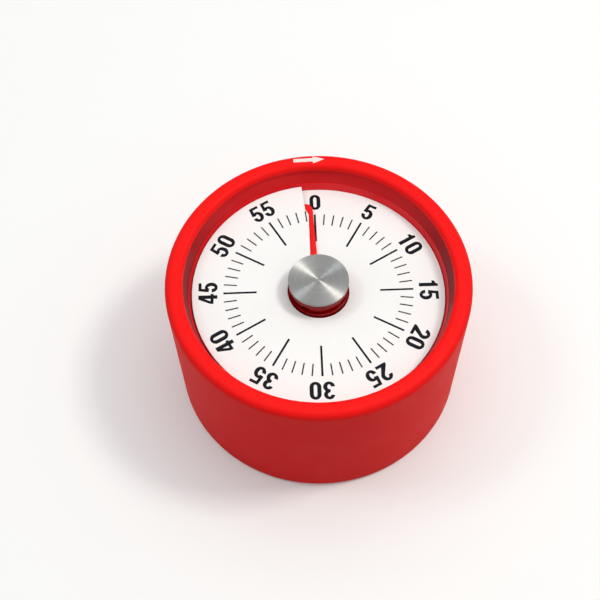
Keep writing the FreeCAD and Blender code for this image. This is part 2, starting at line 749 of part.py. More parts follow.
def make_knob():
    """Knob, cap and spindle with what turns on it."""
    spindle_top = dial_level + d.knob_height - d.cap_thickness - d.cap_cover
    cap_level = dial_level + d.knob_height - d.cap_thickness
    neck_foot = dial_level - d.hub_below - d.neck_below
    neck_top = dial_level + d.hub_above + d.dial_pitch + d.neck_above
    knob = revolved(
        "knob",
        [
            (d.spindle_radius, neck_foot),
            (d.neck_radius, neck_foot),
            (d.neck_radius, neck_top),
            (knob_radius, neck_top),
            (knob_radius, cap_level),
            (NOTHING, cap_level),
            (NOTHING, spindle_top),
            (d.spindle_radius, spindle_top),
        ],
    )
    groove_floor = hub_bore - d.key_depth - d.key_gap
    groove_width = d.key_width + 2 * d.key_gap
    grooves = key_boxes(
        "groove", groove_floor, hub_bore - groove_floor, groove_width, neck_top - neck_foot, neck_foot
    )
    node("knob_body", cut("knob_with_grooves", knob, grooves))
    cap_radius = knob_radius + d.cap_overhang
    cap = revolved(
        "cap",
        [
            (NOTHING, cap_level),
            (cap_radius, cap_level),
            (cap_radius, cap_level + d.cap_thickness),
            (NOTHING, cap_level + d.cap_thickness),
        ],
    )
    node("knob_cap", bevelled(cap, d.cap_chamfer, [(cap_radius, cap_level + d.cap_thickness)]))

    pivot_level = back_plate_level + d.pivot_inset
    shoulder = back_plate_top + d.arbor_shoulder
    shaft = cylinder("shaft", d.spindle_radius, spindle_top - shoulder, shoulder)
    pivot = cylinder("shaft_pivot", d.spindle_pivot, shoulder - pivot_level, pivot_level)
    node("spindle", fuse("spindle", [shaft, pivot]))

    on_shaft = d.spindle_radius + d.staking_gap
    core = tube("core", d.core_radius, on_shaft, great_level - spring_level, spring_level)
    node("spring_core", core)
    great = toothed("great", d.great_module, d.great_teeth, on_shaft, d.wheel_thickness, WHEEL_TOOTH)
    blank = shaped("great_blank", great, great_level, bearing=d.second_bearing.value)
    windows = [
        cylinder(f"window_{number}", d.great_hole_radius, d.wheel_thickness, great_level, place)
        for number, place in enumerate(ring_of_places(d.great_holes, d.great_hole_ring, 90.0))
    ]
    node("great_wheel", cut("great_wheel", blank, windows))
    node("clutch_spring", make_clutch_spring(great_top, on_shaft))
    collar_level = great_top + d.clutch_height
    node("clutch_collar", tube("collar", d.collar_radius, on_shaft, d.collar_height, collar_level))
    cam_level = collar_level + d.collar_height
    cam = tube("cam_disc", d.cam_radius, on_shaft, d.cam_thickness, cam_level)
    notch = box(
        "cam_notch",
        d.cam_notch,
        d.cam_notch,
        d.cam_thickness,
        cam_level,
        (d.cam_radius - d.cam_notch, -(d.cam_notch / 2)),
    )
    node("release_cam", cut("cam", cam, [notch]))
    return cam_level


def make_clutch_spring(level, bore):
    """Dished washer that presses the great wheel against its core."""
    parts = []
    for name, drop in (("clutch_dish", NOTHING), ("clutch_hollow", d.clutch_sheet)):
        cone = doc.addObject("Part::Cone", name)
        bind(cone, "Radius1", d.clutch_radius - drop)
        bind(cone, "Radius2", d.clutch_tip_radius - drop)
        bind(cone, "Height", d.clutch_height)
        parts.append(seat(cone, level))
    hole = cylinder("clutch_hole", bore, d.clutch_height, level)
    shell = cut("clutch_shell", parts[0], [parts[1]])
    rim = tube("clutch_rim", d.clutch_tip_radius, bore, d.clutch_sheet, level + d.clutch_height - d.clutch_sheet)
    return cut("clutch", fuse("clutch_whole", [shell, rim]), [hole])


WHEEL_TOOTH = SimpleNamespace(head=0.8, foot=1.1, root=0.55, middle=0.42, tip=0.2)
LEAF_TOOTH = SimpleNamespace(head=0.7, foot=1.0, root=0.4, middle=0.36, tip=0.14)


def toothed(name, module, teeth, bore, thickness, tooth):
    """Wheel or pinion with straight-flanked teeth; the first tooth points along +X."""
    pitch_radius = module.value * teeth.value / 2
    corners = (
        (pitch_radius - tooth.foot * module.value, -tooth.root),
        (pitch_radius, -tooth.middle),
        (pitch_radius + tooth.head * module.value, -tooth.tip),
        (pitch_radius + tooth.head * module.value, tooth.tip),
        (pitch_radius, tooth.middle),
        (pitch_radius - tooth.foot * module.value, tooth.root),
    )
    points = []
    for number in range(round(teeth.value)):
        middle = 2 * math.pi * number / teeth.value
        for radius, share in corners:
            turn = middle + share * math.pi * module.value / 2 / radius
            points.append(Vector(radius * math.cos(turn), radius * math.sin(turn), 0))
    blank = prism(Part.makePolygon(points + points[:1]), 0, thickness.value)
    return blank.cut(Part.makeCylinder(bore.value, thickness.value))


def make_arbor(name, place, *staked):
    """Arbor between the plates, with the wheel and pinion that are staked on it."""
    shoulder = back_plate_top + d.arbor_shoulder
    length = movement_space - 2 * d.arbor_shoulder
    body = cylinder(f"{name}_body", d.arbor_radius, length, shoulder, place)
    pivot_level = back_plate_level + d.pivot_inset
    pivot_length = front_plate_top - d.pivot_inset - pivot_level
    pivots = cylinder(f"{name}_pivots", d.arbor_pivot, pivot_length, pivot_level, place)
    node(f"{name}_arbor", fuse(f"{name}_arbor", [body, pivots]))
    for thing_name, shape, level, bearing in staked:
        node(thing_name, shaped(thing_name, shape, level, place, bearing))


def facing(bearing, teeth):
    """Turn of a pinion that puts a gap opposite the tooth that comes from a bearing."""
    return bearing.value + 180.0 + 180.0 / teeth.value


def pinion_level(wheel_level):
    return wheel_level - d.pinion_margin


def make_train():
    """Second, third and escape arbors, and the verge."""
    on_arbor = d.arbor_radius + d.staking_gap
    leaf_length = d.wheel_thickness + 2 * d.pinion_margin
    make_arbor(
        "second",
        second_place,
        (
            "second_wheel",
            toothed("second", d.second_module, d.second_teeth, on_arbor, d.wheel_thickness, WHEEL_TOOTH),
            second_level,
            d.third_bearing.value,
        ),
        (
            "second_pinion",
            toothed("leaves", d.great_module, d.pinion_teeth, on_arbor, leaf_length, LEAF_TOOTH),
            pinion_level(great_level),
            facing(d.second_bearing, d.pinion_teeth),
        ),
    )
    make_arbor(
        "third",
        third_place,
        (
            "third_wheel",
            toothed("third", d.third_module, d.third_teeth, on_arbor, d.wheel_thickness, WHEEL_TOOTH),
            third_level,
            d.escape_bearing.value,
        ),
        (
            "third_pinion",
            toothed("leaves", d.second_module, d.pinion_teeth, on_arbor, leaf_length, LEAF_TOOTH),
            pinion_level(second_level),
            facing(d.third_bearing, d.pinion_teeth),
        ),
    )
    make_arbor(
        "escape",
        escape_place,
        ("escape_wheel", escape_shape(on_arbor), escape_level, 0.0),
        (
            "escape_pinion",
            toothed("leaves", d.third_module, d.escape_leaves, on_arbor, leaf_length, LEAF_TOOTH),
            pinion_level(third_level),
            facing(d.escape_bearing, d.escape_leaves),
        ),
    )
    make_verge()


def escape_shape(bore):
    """Escape wheel with pointed teeth that all lean one way."""
    points = []
    count = round(d.escape_teeth.value)
    for number in range(count):
        turn = 2 * math.pi * number / count
        after = turn + 2 * math.pi / count * d.escape_share.value
        low = d.escape_radius.value - d.escape_tooth.value
        for radius, angle in ((low, turn), (d.escape_radius.value, turn), (low, after)):
            points.append(Vector(radius * math.cos(angle), radius * math.sin(angle), 0))
    blank = prism(Part.makePolygon(points + points[:1]), 0, d.escape_thickness.value)
    return blank.cut(Part.makeCylinder(bore.value, d.escape_thickness.value))


def make_verge():
    """Verge lever whose two pallet pins stand beside the escape wheel."""
    thickness = d.verge_thickness.value
    half = d.verge_half_length.value
    width = d.verge_width.value
    lift = (d.escape_thickness + d.verge_gap).value
    bar = Part.makeBox(2 * half, width, thickness, Vector(-half, -width / 2, lift))
    reach = (d.escape_radius + d.pallet_gap + d.pallet_radius).value
    spread = math.radians(d.pallet_spread.value)
    leg = 4 * d.pallet_radius.value
    for side in (-1, 1):
        x = side * reach * math.sin(spread)
        y = -d.verge_distance.value + reach * math.cos(spread)
        bar = bar.fuse(Part.makeBox(leg, -y + leg / 2, thickness, Vector(x - leg / 2, y - leg / 2, lift)))
        bar = bar.fuse(Part.makeCylinder(d.pallet_radius.value, lift, Vector(x, y, 0)))
    bar = bar.removeSplitter()
    bar = bar.cut(Part.makeCylinder((d.arbor_radius + d.staking_gap).value, lift + thickness))
    node("verge_lever", shaped("verge_lever", bar, escape_level, verge_place, d.verge_bearing.value - 90.0))
    make_arbor("verge", verge_place)


def lever_shape(reach, bearing, width, thickness):
    """Flat lever with a round eye at the origin and a round end."""
    bar = Part.makeBox(reach, width, thickness, Vector(0, -width / 2, 0))
    ends = [Part.makeCylinder(width / 2, thickness, Vector(x, 0, 0)) for x in (0, reach)]
    lever = bar.fuse(ends).removeSplitter()
    lever.rotate(Vector(), Vector(0, 0, 1), bearing)
    return lever


def make_striker(cam_level):
    """Striker on its own arbor: a lever beside the cam, and a lever with the head inside the bell."""
    arbor = Vector(striker_place[0].value, striker_place[1].value, 0)
    bell_bore = (d.bell_radius - d.bell_thickness).value
    head_radius = d.striker_head_radius.value
    width = d.striker_width.value
    thickness = d.striker_thickness.value
    nose_reach = (striker_ring - d.cam_radius - d.striker_nose_gap).value - width / 2
    head_turn = math.radians(d.striker_bearing.value + d.striker_head_swing.value)
    head_ring = bell_bore - d.striker_head_gap.value - head_radius
    head = Vector(head_ring * math.cos(head_turn), head_ring * math.sin(head_turn), 0) - arbor
    head_bearing = math.degrees(math.atan2(head.y, head.x))
    eye = Part.makeCylinder((d.arbor_radius + d.staking_gap).value, thickness)
    upper = lever_shape(nose_reach, d.striker_bearing.value + 180.0, width, thickness).cut(eye)
    lower = lever_shape(head.Length, head_bearing, width, thickness).cut(eye)
    hole = Part.makeCylinder(width / 4, thickness, head)
    lower_level = bell_rim - d.striker_drop - d.striker_thickness
    node("striker_lever", shaped("striker_lever", upper, cam_level, striker_place))
    node("striker_arm", shaped("striker_arm", lower.cut(hole), lower_level, striker_place))
    mallet = Part.makeCylinder(head_radius, thickness, head - Vector(0, 0, thickness))
    stem = Part.makeCylinder(width / 4, thickness, head)
    node("striker_head", shaped("striker_head", mallet.fuse(stem), lower_level, striker_place))
    top = front_plate_level - d.arbor_shoulder
    body = cylinder("striker_body", d.arbor_radius, top - lower_level, lower_level, striker_place)
    pivot_top = front_plate_top - d.pivot_inset
    pivot = cylinder("striker_pivot", d.arbor_pivot, pivot_top - lower_level, lower_level, striker_place)
    node("striker_arbor", fuse("striker_arbor", [body, pivot]))


def make_movement():
    """Plates, pillars, mainspring, bell and the screws that hold them."""
    pivot_hole = d.arbor_pivot + d.pivot_gap
    pivots = (second_place, third_place, escape_place, verge_place)
    back = cylinder("back_disc", d.plate_radius, d.plate_thickness, back_plate_level)
    back_holes = [plate_hole("back", "spindle", d.spindle_pivot + d.pivot_gap, back_plate_level)]
    front_holes = [plate_hole("front", "spindle", d.spindle_radius + d.pivot_gap, front_plate_level)]
    for number, place in enumerate(pivots):
        back_holes.append(plate_hole("back", f"pivot_{number}", pivot_hole, back_plate_level, place))
        front_holes.append(plate_hole("front", f"pivot_{number}", pivot_hole, front_plate_level, place))
    striker_hole = d.arbor_radius + d.pivot_gap
    back_holes.append(plate_hole("back", "striker", striker_hole, back_plate_level, striker_place))
    front_holes.append(plate_hole("front", "striker", pivot_hole, front_plate_level, striker_place))
    screw_bore = d.screw_radius + d.screw_gap
    for number, place in enumerate(pillar_places):
        tenon = d.pillar_tenon + d.staking_gap
        back_holes.append(plate_hole("back", f"pillar_{number}", tenon, back_plate_level, place))
        front_holes.append(plate_hole("front", f"pillar_{number}", screw_bore, front_plate_level, place))
    ears = []
    ear_radius = d.post_radius + d.ear_margin
    for number, place in enumerate(post_places):
        bearing = post_bearing.value + FULL_TURN * number / d.post_count.value
        corner = polar(ear_radius, bearing - 90.0)
        ears.append(cylinder(f"ear_{number}", ear_radius, d.plate_thickness, front_plate_level, place))
        arm = box(
            f"ear_arm_{number}", post_ring, 2 * ear_radius, d.plate_thickness, front_plate_level, corner, bearing
        )
        ears.append(arm)
        front_holes.append(plate_hole("front", f"post_{number}", screw_bore, front_plate_level, place))
    front = cylinder("front_disc", d.plate_radius, d.plate_thickness, front_plate_level)
    node("movement_back_plate", cut("back_plate", back, back_holes))
    node("movement_front_plate", cut("front_plate", fuse("front_with_ears", [front] + ears), front_holes))

    pillars = []
    pillar_screws = []
    grip = d.plate_thickness + d.screw_grip - d.fit_gap
    for number, place in enumerate(pillar_places):
        post = cylinder(f"pillar_{number}", d.pillar_radius, movement_space, back_plate_top, place)
        tenon = cylinder(f"tenon_{number}", d.pillar_tenon, d.plate_thickness, back_plate_level, place)
        well = cylinder(
            f"pillar_hole_{number}", screw_bore, d.screw_grip, front_plate_level - d.screw_grip, place
        )
        pillars.append(cut(f"pillar_with_hole_{number}", fuse(f"pillar_whole_{number}", [post, tenon]), [well]))
        pillar_screws.append(screw(f"pillar_screw_{number}", front_plate_top, place, -1, grip))
    node("plate_pillars", group("plate_pillars", pillars))
    node("pillar_screws", group("pillar_screws", pillar_screws))
    screws = [
        screw(f"movement_screw_{number}", front_plate_level, place, 1, grip)
        for number, place in enumerate(post_places)
    ]
    node("movement_screws", group("movement_screws", screws))

    spring, spring_end = spring_shape()
    node("mainspring", shaped("mainspring", spring, spring_level))
    anchor_place = (Size.of(spring_end) + d.anchor_radius + d.staking_gap, NOTHING)
    anchor_height = d.spring_level + d.spring_width
    node("spring_anchor", cylinder("anchor", d.anchor_radius, anchor_height, back_plate_top, anchor_place))
    make_bell(screw_bore)


def plate_hole(plate, name, radius, level, place=(NOTHING, NOTHING)):
    return cylinder(f"{plate}_hole_{name}", radius, d.plate_thickness, level, place)


def spring_shape():
    """Flat spiral of half turns about two centres; gives the solid and how far out its end lies."""
    first = (d.core_radius + d.spring_gap + d.spring_thickness / 2).value
    shift = d.spring_step.value / 2
    halves = 2 * round(d.spring_turns.value)

    def wall(offset):
        arcs = []
        for number in range(halves):
            radius = first + number * shift + offset
            upper = number % 2 == 0
            centre = Vector(0.0 if upper else shift, 0, 0)
            side = 1 if upper else -1
            start = centre + Vector(side * radius, 0, 0)
            middle = centre + Vector(0, side * radius, 0)
            end = centre - Vector(side * radius, 0, 0)
            arcs.append(Part.Arc(start, middle, end).toShape())
        return arcs, first + offset, centre.x + radius

    half = d.spring_thickness.value / 2
    outer, outer_start, outer_end = wall(half)
    inner, inner_start, inner_end = wall(-half)
    ends = [
        Part.LineSegment(Vector(inner_start, 0, 0), Vector(outer_start, 0, 0)).toShape(),
        Part.LineSegment(Vector(inner_end, 0, 0), Vector(outer_end, 0, 0)).toShape(),
    ]
    wire = Part.Wire(Part.__sortEdges__(outer + inner + ends))
    return prism(wire, 0, d.spring_width.value), outer_end


def make_bell(screw_bore):
    """Bell with its post and screw."""
    inside = d.bell_radius - d.bell_thickness
    bell = revolved(
        "bell",
        [
            (screw_bore, bell_level),
            (d.bell_radius, bell_level),
            (d.bell_radius, bell_rim),
            (inside, bell_rim),
            (inside, bell_level + d.bell_thickness),
            (screw_bore, bell_level + d.bell_thickness),
        ],
    )
    rounded(bell, d.bell_round, [(d.bell_radius, bell_level)])
    rounded(bell, d.bell_round - d.bell_thickness, [(inside, bell_level + d.bell_thickness)])
    node("bell", bell)
    post_level = bell_level + d.bell_thickness
    post = cylinder("bell_post_body", d.bell_post_radius, back_plate_level - post_level, post_level)
    node("bell_post", cut("bell_post", post, [screw_hole("bell_post_hole", post_level, (NOTHING, NOTHING))]))
    grip = d.bell_thickness + d.screw_grip - d.fit_gap
    node("bell_screw", screw("bell_screw", bell_level, (NOTHING, NOTHING), 1, grip))


second_place = polar(d.great_module * (d.great_teeth + d.pinion_teeth) / 2, d.second_bearing)
third_distance = d.second_module * (d.second_teeth + d.pinion_teeth) / 2
third_place = polar(third_distance, d.third_bearing, second_place)
escape_distance = d.third_module * (d.third_teeth + d.escape_leaves) / 2
escape_place = polar(escape_distance, d.escape_bearing, third_place)
verge_place = polar(d.verge_distance, d.verge_bearing, escape_place)
great_tip = d.great_module * (d.great_teeth / 2 + WHEEL_TOOTH.head)
striker_ring = great_tip + d.striker_gap + d.arbor_radius
striker_place = polar(striker_ring, d.striker_bearing)
post_bearing = d.second_bearing - d.post_lag
pillar_places = ring_of_places(d.pillar_count, d.pillar_ring, d.second_bearing - d.pillar_lag)
post_places = ring_of_places(d.post_count, post_ring, post_bearing)
boss_places = ring_of_places(d.boss_count, boss_ring, d.boss_bearing)


def check_and_write():
    """Stops on a failed object or shape, then writes one STEP file for each piece."""
    doc.recompute()
    for thing in doc.Objects:
        if "Invalid" in thing.State or "Error" in thing.State:
            raise RuntimeError(f"{thing.Name} failed: {thing.State}")
    for name, thing in nodes.items():
        if thing.Shape.isNull() or not thing.Shape.isValid() or not thing.Shape.Solids:
            raise RuntimeError(f"{name} has no valid solid")
    os.makedirs("parts", exist_ok=True)
    for name, thing in nodes.items():
        thing.Shape.exportStep(f"parts/{name}.step")
        low, high = thing.Shape.BoundBox.ZMin, thing.Shape.BoundBox.ZMax
        print(f"{name}: {len(thing.Shape.Solids)} solids, {thing.Shape.Volume:.1f} mm3, z {low:.2f} to {high:.2f}")


make_case()
make_dial()
make_striker(make_knob())
make_train()
make_movement()
check_and_write()
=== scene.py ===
"""Looks of the visual countdown timer: its materials, printing, fine parts, floor, light and camera.

The timer lies on its back with +Z out of the dial, +Y to the 0 mark and +X to the 15 mark. Sizes in the
classes are millimetres and degrees, as in the part's source; MM turns them into metres.
"""
import logging
import math
from dataclasses import dataclass, field
from enum import Enum
from typing import Callable, Iterable, Mapping, Sequence, Union

import bmesh
import bpy
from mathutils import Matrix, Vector


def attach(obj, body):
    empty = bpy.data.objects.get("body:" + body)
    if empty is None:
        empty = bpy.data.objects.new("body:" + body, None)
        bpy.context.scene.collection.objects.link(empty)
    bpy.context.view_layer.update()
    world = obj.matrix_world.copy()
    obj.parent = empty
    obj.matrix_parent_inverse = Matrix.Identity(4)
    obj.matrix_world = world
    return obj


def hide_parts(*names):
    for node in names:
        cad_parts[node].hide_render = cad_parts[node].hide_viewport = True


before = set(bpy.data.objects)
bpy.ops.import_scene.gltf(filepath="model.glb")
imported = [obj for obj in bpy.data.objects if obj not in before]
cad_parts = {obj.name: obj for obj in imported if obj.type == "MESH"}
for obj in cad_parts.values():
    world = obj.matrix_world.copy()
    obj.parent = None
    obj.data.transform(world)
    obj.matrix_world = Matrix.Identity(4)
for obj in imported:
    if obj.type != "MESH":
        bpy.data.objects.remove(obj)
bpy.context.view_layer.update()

MM = 0.001
FULL_TURN = 360.0
MERGE_DISTANCE = 1e-7
SIDE_POWER = 4.0
LEVEL_FACE = 0.5
LOG = logging.getLogger("timer")

Triple = tuple[float, float, float]
Colour = Triple
Point = tuple[float, float]


class Socket:
    """Output of a shader node. Arithmetic on it adds Math nodes."""

    def __init__(self, shader: "Shader", link: bpy.types.NodeSocket) -> None:
        """Keeps the socket and the shader that it belongs to.

        Args:
            shader: Shader whose tree gets the new nodes.
            link: The node output that this stands for.
        """
        self.shader = shader
        self.link = link

    def math(self, operation: str, *others: "Number") -> "Socket":
        """Adds a Math node that starts with this value.

        Args:
            operation: Name of the Math node's operation.
            others: Its second and third value.

        Returns:
            The node's result.
        """
        values = dict(enumerate((self, *others)))
        return self.shader.add("ShaderNodeMath", {"operation": operation}, values)

    def __add__(self, other: "Number") -> "Socket":
        """Sum."""
        return self.math("ADD", other)

    def __sub__(self, other: "Number") -> "Socket":
        """Difference."""
        return self.math("SUBTRACT", other)

    def __rsub__(self, other: "Number") -> "Socket":
        """Difference from a number."""
        return self.math("MULTIPLY", -1.0) + other

    def __mul__(self, other: "Number") -> "Socket":
        """Product."""
        return self.math("MULTIPLY", other)

    def __truediv__(self, other: "Number") -> "Socket":
        """Quotient."""
        return self.math("DIVIDE", other)

    def share(self) -> "Socket":
        """The value kept between 0 and 1."""
        return self.math("MAXIMUM", 0.0).math("MINIMUM", 1.0)


Number = Union[float, Socket]
Value = Union[float, Sequence[float], Socket]


class Shader:
    """Node tree of one material or of the world."""

    def __init__(self, owner: Union[bpy.types.Material, bpy.types.World]) -> None:
        """Empties the owner's node tree.

        Args:
            owner: The material or world.
        """
        self.owner = owner
        self.owner.use_nodes = True
        self.tree = self.owner.node_tree
        self.tree.nodes.clear()

    def add(
        self,
        kind: str,
        settings: Mapping[str, object],
        values: Mapping[Union[int, str], Value],
        out: Union[int, str] = 0,
    ) -> Socket:
        """Adds one node.

        Args:
            kind: Type of the node.
            settings: Its own settings, which are set first.
            values: Values or links of its sockets, by name or number.
            out: Name or number of the output to give back.

        Returns:
            The chosen output.
        """
        node = self.tree.nodes.new(kind)
        for name, setting in settings.items():
            setattr(node, name, setting)
        for name, value in values.items():
            if isinstance(value, Socket):
                self.tree.links.new(value.link, node.inputs[name])
            else:
                node.inputs[name].default_value = value
        return Socket(self, node.outputs[out])

    def place(self) -> Socket:
        """Object coordinates, in metres."""
        return self.add("ShaderNodeTexCoord", {}, {}, "Object")

    def from_axis(self) -> Socket:
        """Distance from the timer's own axis, in metres."""
        level = {0: self.place(), 1: (1.0, 1.0, 0.0)}
        flat = self.add("ShaderNodeVectorMath", {"operation": "MULTIPLY"}, level)
        return self.add("ShaderNodeVectorMath", {"operation": "LENGTH"}, {0: flat}, "Value")

    def sideways(self) -> Socket:
        """1 at the timer's left and right and 0 at its front and back: the mask of the painted shade at
        the left and right.
        """
        across = self.add("ShaderNodeSeparateXYZ", {}, {0: self.place()}, "X") / self.from_axis()
        return across.math("POWER", SIDE_POWER)

    def noise(self, size: float, detail: float = 3.0, stretch: Triple = (1.0, 1.0, 1.0)) -> Socket:
        """Cloudy pattern from 0 to 1.

        Args:
            size: Size of its clouds, in millimetres.
            detail: Number of finer layers.
            stretch: How many times finer it is along each axis.

        Returns:
            The pattern.
        """
        spot = self.add("ShaderNodeMapping", {}, {"Vector": self.place(), "Scale": stretch})
        values = {"Vector": spot, "Scale": 1.0 / (size * MM), "Detail": detail}
        return self.add("ShaderNodeTexNoise", {}, values, "Fac")

    def blend(self, share: Number, first: Value, second: Value, way: str = "MIX") -> Socket:
        """Colour between two colours.

        Args:
            share: 0 gives the first, and 1 gives the second or what the way makes of both.
            first: First colour.
            second: Second colour.
            way: Name of the Mix node's way of mixing.

        Returns:
            The mixed colour.
        """
        settings = {"data_type": "RGBA", "blend_type": way}
        values = {0: share, 6: _opaque(first), 7: _opaque(second)}
        return self.add("ShaderNodeMix", settings, values, 2)

    def bump(self, height: Socket, depth: float) -> Socket:
        """Normal of a rough surface.

        Args:
            height: Pattern of the relief, from 0 to 1.
            depth: Height of the relief, in millimetres.

        Returns:
            The bumped normal.
        """
        return self.add("ShaderNodeBump", {}, {"Distance": depth * MM, "Height": height})

    def surface(self, **values: Value) -> Socket:
        """Principled surface.

        Args:
            values: Its sockets, with underscores for spaces in their names.

        Returns:
            The surface.
        """
        named = {name.replace("_", " "): _opaque(value) for name, value in values.items()}
        return self.add("ShaderNodeBsdfPrincipled", {}, named)

    def finish(self, surface: Socket) -> Union[bpy.types.Material, bpy.types.World]:
        """Joins a surface to the tree's output.

        Args:
            surface: The surface.

        Returns:
            The finished material or world.
        """
        kind = "World" if isinstance(self.owner, bpy.types.World) else "Material"
        output = self.tree.nodes.new(f"ShaderNodeOutput{kind}")
        self.tree.links.new(surface.link, output.inputs["Surface"])
        return self.owner


def _opaque(value: Value) -> Value:
    """Adds the fourth channel that a colour socket needs.

    Args:
        value: Anything that a socket takes.

    Returns:
        The value, with a fourth channel where it's a colour.
    """
    if isinstance(value, tuple) and len(value) == 3:
        return (*value, 1.0)
    return value


@dataclass(frozen=True)
class SoftRubber:
    """Soft-touch silicone: dull and finely grained outside and smoother below its lip, where its deeper
    red is painted shade, deeper still at the left and right.
    """

    name: str
    colour: Colour
    bloom: Colour
    throat: Colour
    throat_side: Colour
    sheen: float = 0.10
    grain: float = 0.16
    depth: float = 0.012
    throat_radius: float = 35.65
    throat_top: float = 43.8
    soft_edge: float = 0.08
    cloud_size: float = 9.0
    roughness: float = 0.5
    throat_gloss: float = 0.2

    def make(self) -> bpy.types.Material:
        """The finished material."""
        shader = Shader(bpy.data.materials.new(self.name))
        clouds = shader.noise(self.cloud_size, 4.0)
        fine = shader.noise(self.grain, 2.0)
        outside = shader.blend(clouds * 0.5 + fine * 0.15, self.colour, self.bloom)
        inside = self._inside(shader)
        # Painted shade below the lip, deeper at the left and right.
        throat = shader.blend(shader.sideways(), self.throat, self.throat_side)
        surface = shader.surface(
            Base_Color=shader.blend(inside, outside, throat),
            Roughness=(clouds * 0.12 + self.roughness) - inside * self.throat_gloss,
            Specular_IOR_Level=self.sheen,
            Normal=shader.bump(fine * (1.0 - inside * 0.8), self.depth),
        )
        return shader.finish(surface)

    def _inside(self, shader: Shader) -> Socket:
        """1 below the lip, inside the mouth, and 0 elsewhere: the mask of the painted shade there and of
        the smoother finish.

        Args:
            shader: Shader that gets the nodes.

        Returns:
            The share.
        """
        spot = shader.add("ShaderNodeSeparateXYZ", {}, {0: shader.place()}, "Z")
        below = (self.throat_top * MM - spot) / (self.soft_edge * MM)
        within = (self.throat_radius * MM - shader.from_axis()) / (self.soft_edge * MM)
        return below.share() * within.share()


@dataclass(frozen=True)
class Moulded:
    """Moulded plastic: fine grain, slow changes of tone, a chosen gloss and, if wanted, painted shade on
    its left and right sides.
    """

    name: str
    colour: Colour
    roughness: float
    grain: float = 0.3
    depth: float = 0.004
    coat: float = 0.0
    shine: float = 0.4
    side: float = 1.0
    deepest: float = 0.93
    cloud_size: float = 14.0
    coat_roughness: float = 0.08

    def make(self) -> bpy.types.Material:
        """The finished material."""
        shader = Shader(bpy.data.materials.new(self.name))
        clouds = shader.noise(self.cloud_size, 3.0)
        fine = shader.noise(self.grain, 2.0)
        deep = tuple(channel * self.deepest for channel in self.colour)
        tone = shader.blend(clouds, self.colour, deep)
        # Painted shade: darker at the timer's left and right.
        if self.side < 1.0:
            tone = shader.blend(shader.sideways(), tone, (self.side, self.side, 1.0), "MULTIPLY")
        surface = shader.surface(
            Base_Color=tone,
            Roughness=fine * 0.08 + (self.roughness - 0.04),
            Specular_IOR_Level=self.shine,
            Coat_Weight=self.coat,
            Coat_Roughness=self.coat_roughness,
            Normal=shader.bump(fine, self.depth),
        )
        return shader.finish(surface)


@dataclass(frozen=True)
class Tinted:
    """See-through coloured plastic. It casts a coloured shadow, as a filter does."""

    name: str
    colour: Colour
    shade: Colour
    clear: float
    roughness: float = 0.06
    shine: float = 0.5
    ior: float = 1.49
    flow_size: float = 3.0

    def make(self) -> bpy.types.Material:
        """The finished material."""
        shader = Shader(bpy.data.materials.new(self.name))
        flow = shader.noise(self.flow_size, 2.0)
        surface = shader.surface(
            Base_Color=shader.blend(flow * 0.3, self.colour, self.shade),
            Roughness=flow * 0.03 + self.roughness,
            IOR=self.ior,
            Transmission_Weight=self.clear,
            Specular_IOR_Level=self.shine,
            Normal=shader.bump(flow, 0.002),
        )
        shadow = shader.add("ShaderNodeLightPath", {}, {}, "Is Shadow Ray")
        diffuse = shader.add("ShaderNodeLightPath", {}, {}, "Is Diffuse Ray")
        passing = shader.add("ShaderNodeBsdfTransparent", {}, {"Color": _opaque(self.colour)})
        share = shadow.math("MAXIMUM", diffuse) * self.clear
        return shader.finish(shader.add("ShaderNodeMixShader", {}, {0: share, 1: surface, 2: passing}))


class Marks(Enum):
    """How a metal piece was worked, which gives the run of its fine lines."""

    SPUN = "rings around the piece's own axis"
    ROLLED = "straight lines along X"
    CAST = "no lines"


@dataclass(frozen=True)
class Metal:
    """Bare or plated metal with the fine lines of its making, which may stretch its highlights."""

    name: str
    colour: Colour
    roughness: float
    marks: Marks = Marks.ROLLED
    line: float = 0.09
    depth: float = 0.0015
    stretched: float = 0.0
    stretch_turn: float = 0.25
    smudge_size: float = 5.0
    deepest: float = 0.7

    def make(self) -> bpy.types.Material:
        """The finished material."""
        shader = Shader(bpy.data.materials.new(self.name))
        lines = self._lines(shader)
        smudge = shader.noise(self.smudge_size, 3.0)
        deep = tuple(channel * self.deepest for channel in self.colour)
        values: dict[str, Value] = {
            "Base_Color": shader.blend(lines * 0.6 + smudge * 0.3, self.colour, deep),
            "Metallic": 1.0,
            "Roughness": lines * 0.08 + smudge * 0.06 + (self.roughness - 0.07),
            "Normal": shader.bump(lines, self.depth),
        }
        if self.stretched:
            values["Anisotropic"] = self.stretched
            values["Anisotropic_Rotation"] = self.stretch_turn
        return shader.finish(shader.surface(**values))

    def _lines(self, shader: Shader) -> Socket:
        """Pattern of the fine lines, from 0 to 1.

        Args:
            shader: Shader that gets the nodes.

        Returns:
            The pattern.
        """
        if self.marks is Marks.ROLLED:
            return shader.noise(self.line, 3.0, (0.04, 1.0, 1.0))
        if self.marks is Marks.CAST:
            return shader.noise(self.line * 3.0, 3.0)
        rings = {"W": shader.from_axis(), "Scale": 1.0 / (self.line * MM), "Detail": 2.0}
        return shader.add("ShaderNodeTexNoise", {"noise_dimensions": "1D"}, rings, "Fac")


@dataclass(frozen=True)
class Ink:
    """Printed ink: nearly black or white, with a slightly uneven film."""

    name: str
    colour: Colour
    thin: Colour
    film_size: float = 0.5

    def make(self) -> bpy.types.Material:
        """The finished material."""
        shader = Shader(bpy.data.materials.new(self.name))
        film = shader.noise(self.film_size, 4.0)
        surface = shader.surface(
            Base_Color=shader.blend(film * 0.5, self.colour, self.thin),
            Roughness=film * 0.1 + 0.5,
            Specular_IOR_Level=0.15,
            Normal=shader.bump(film, 0.003),
        )
        return shader.finish(surface)


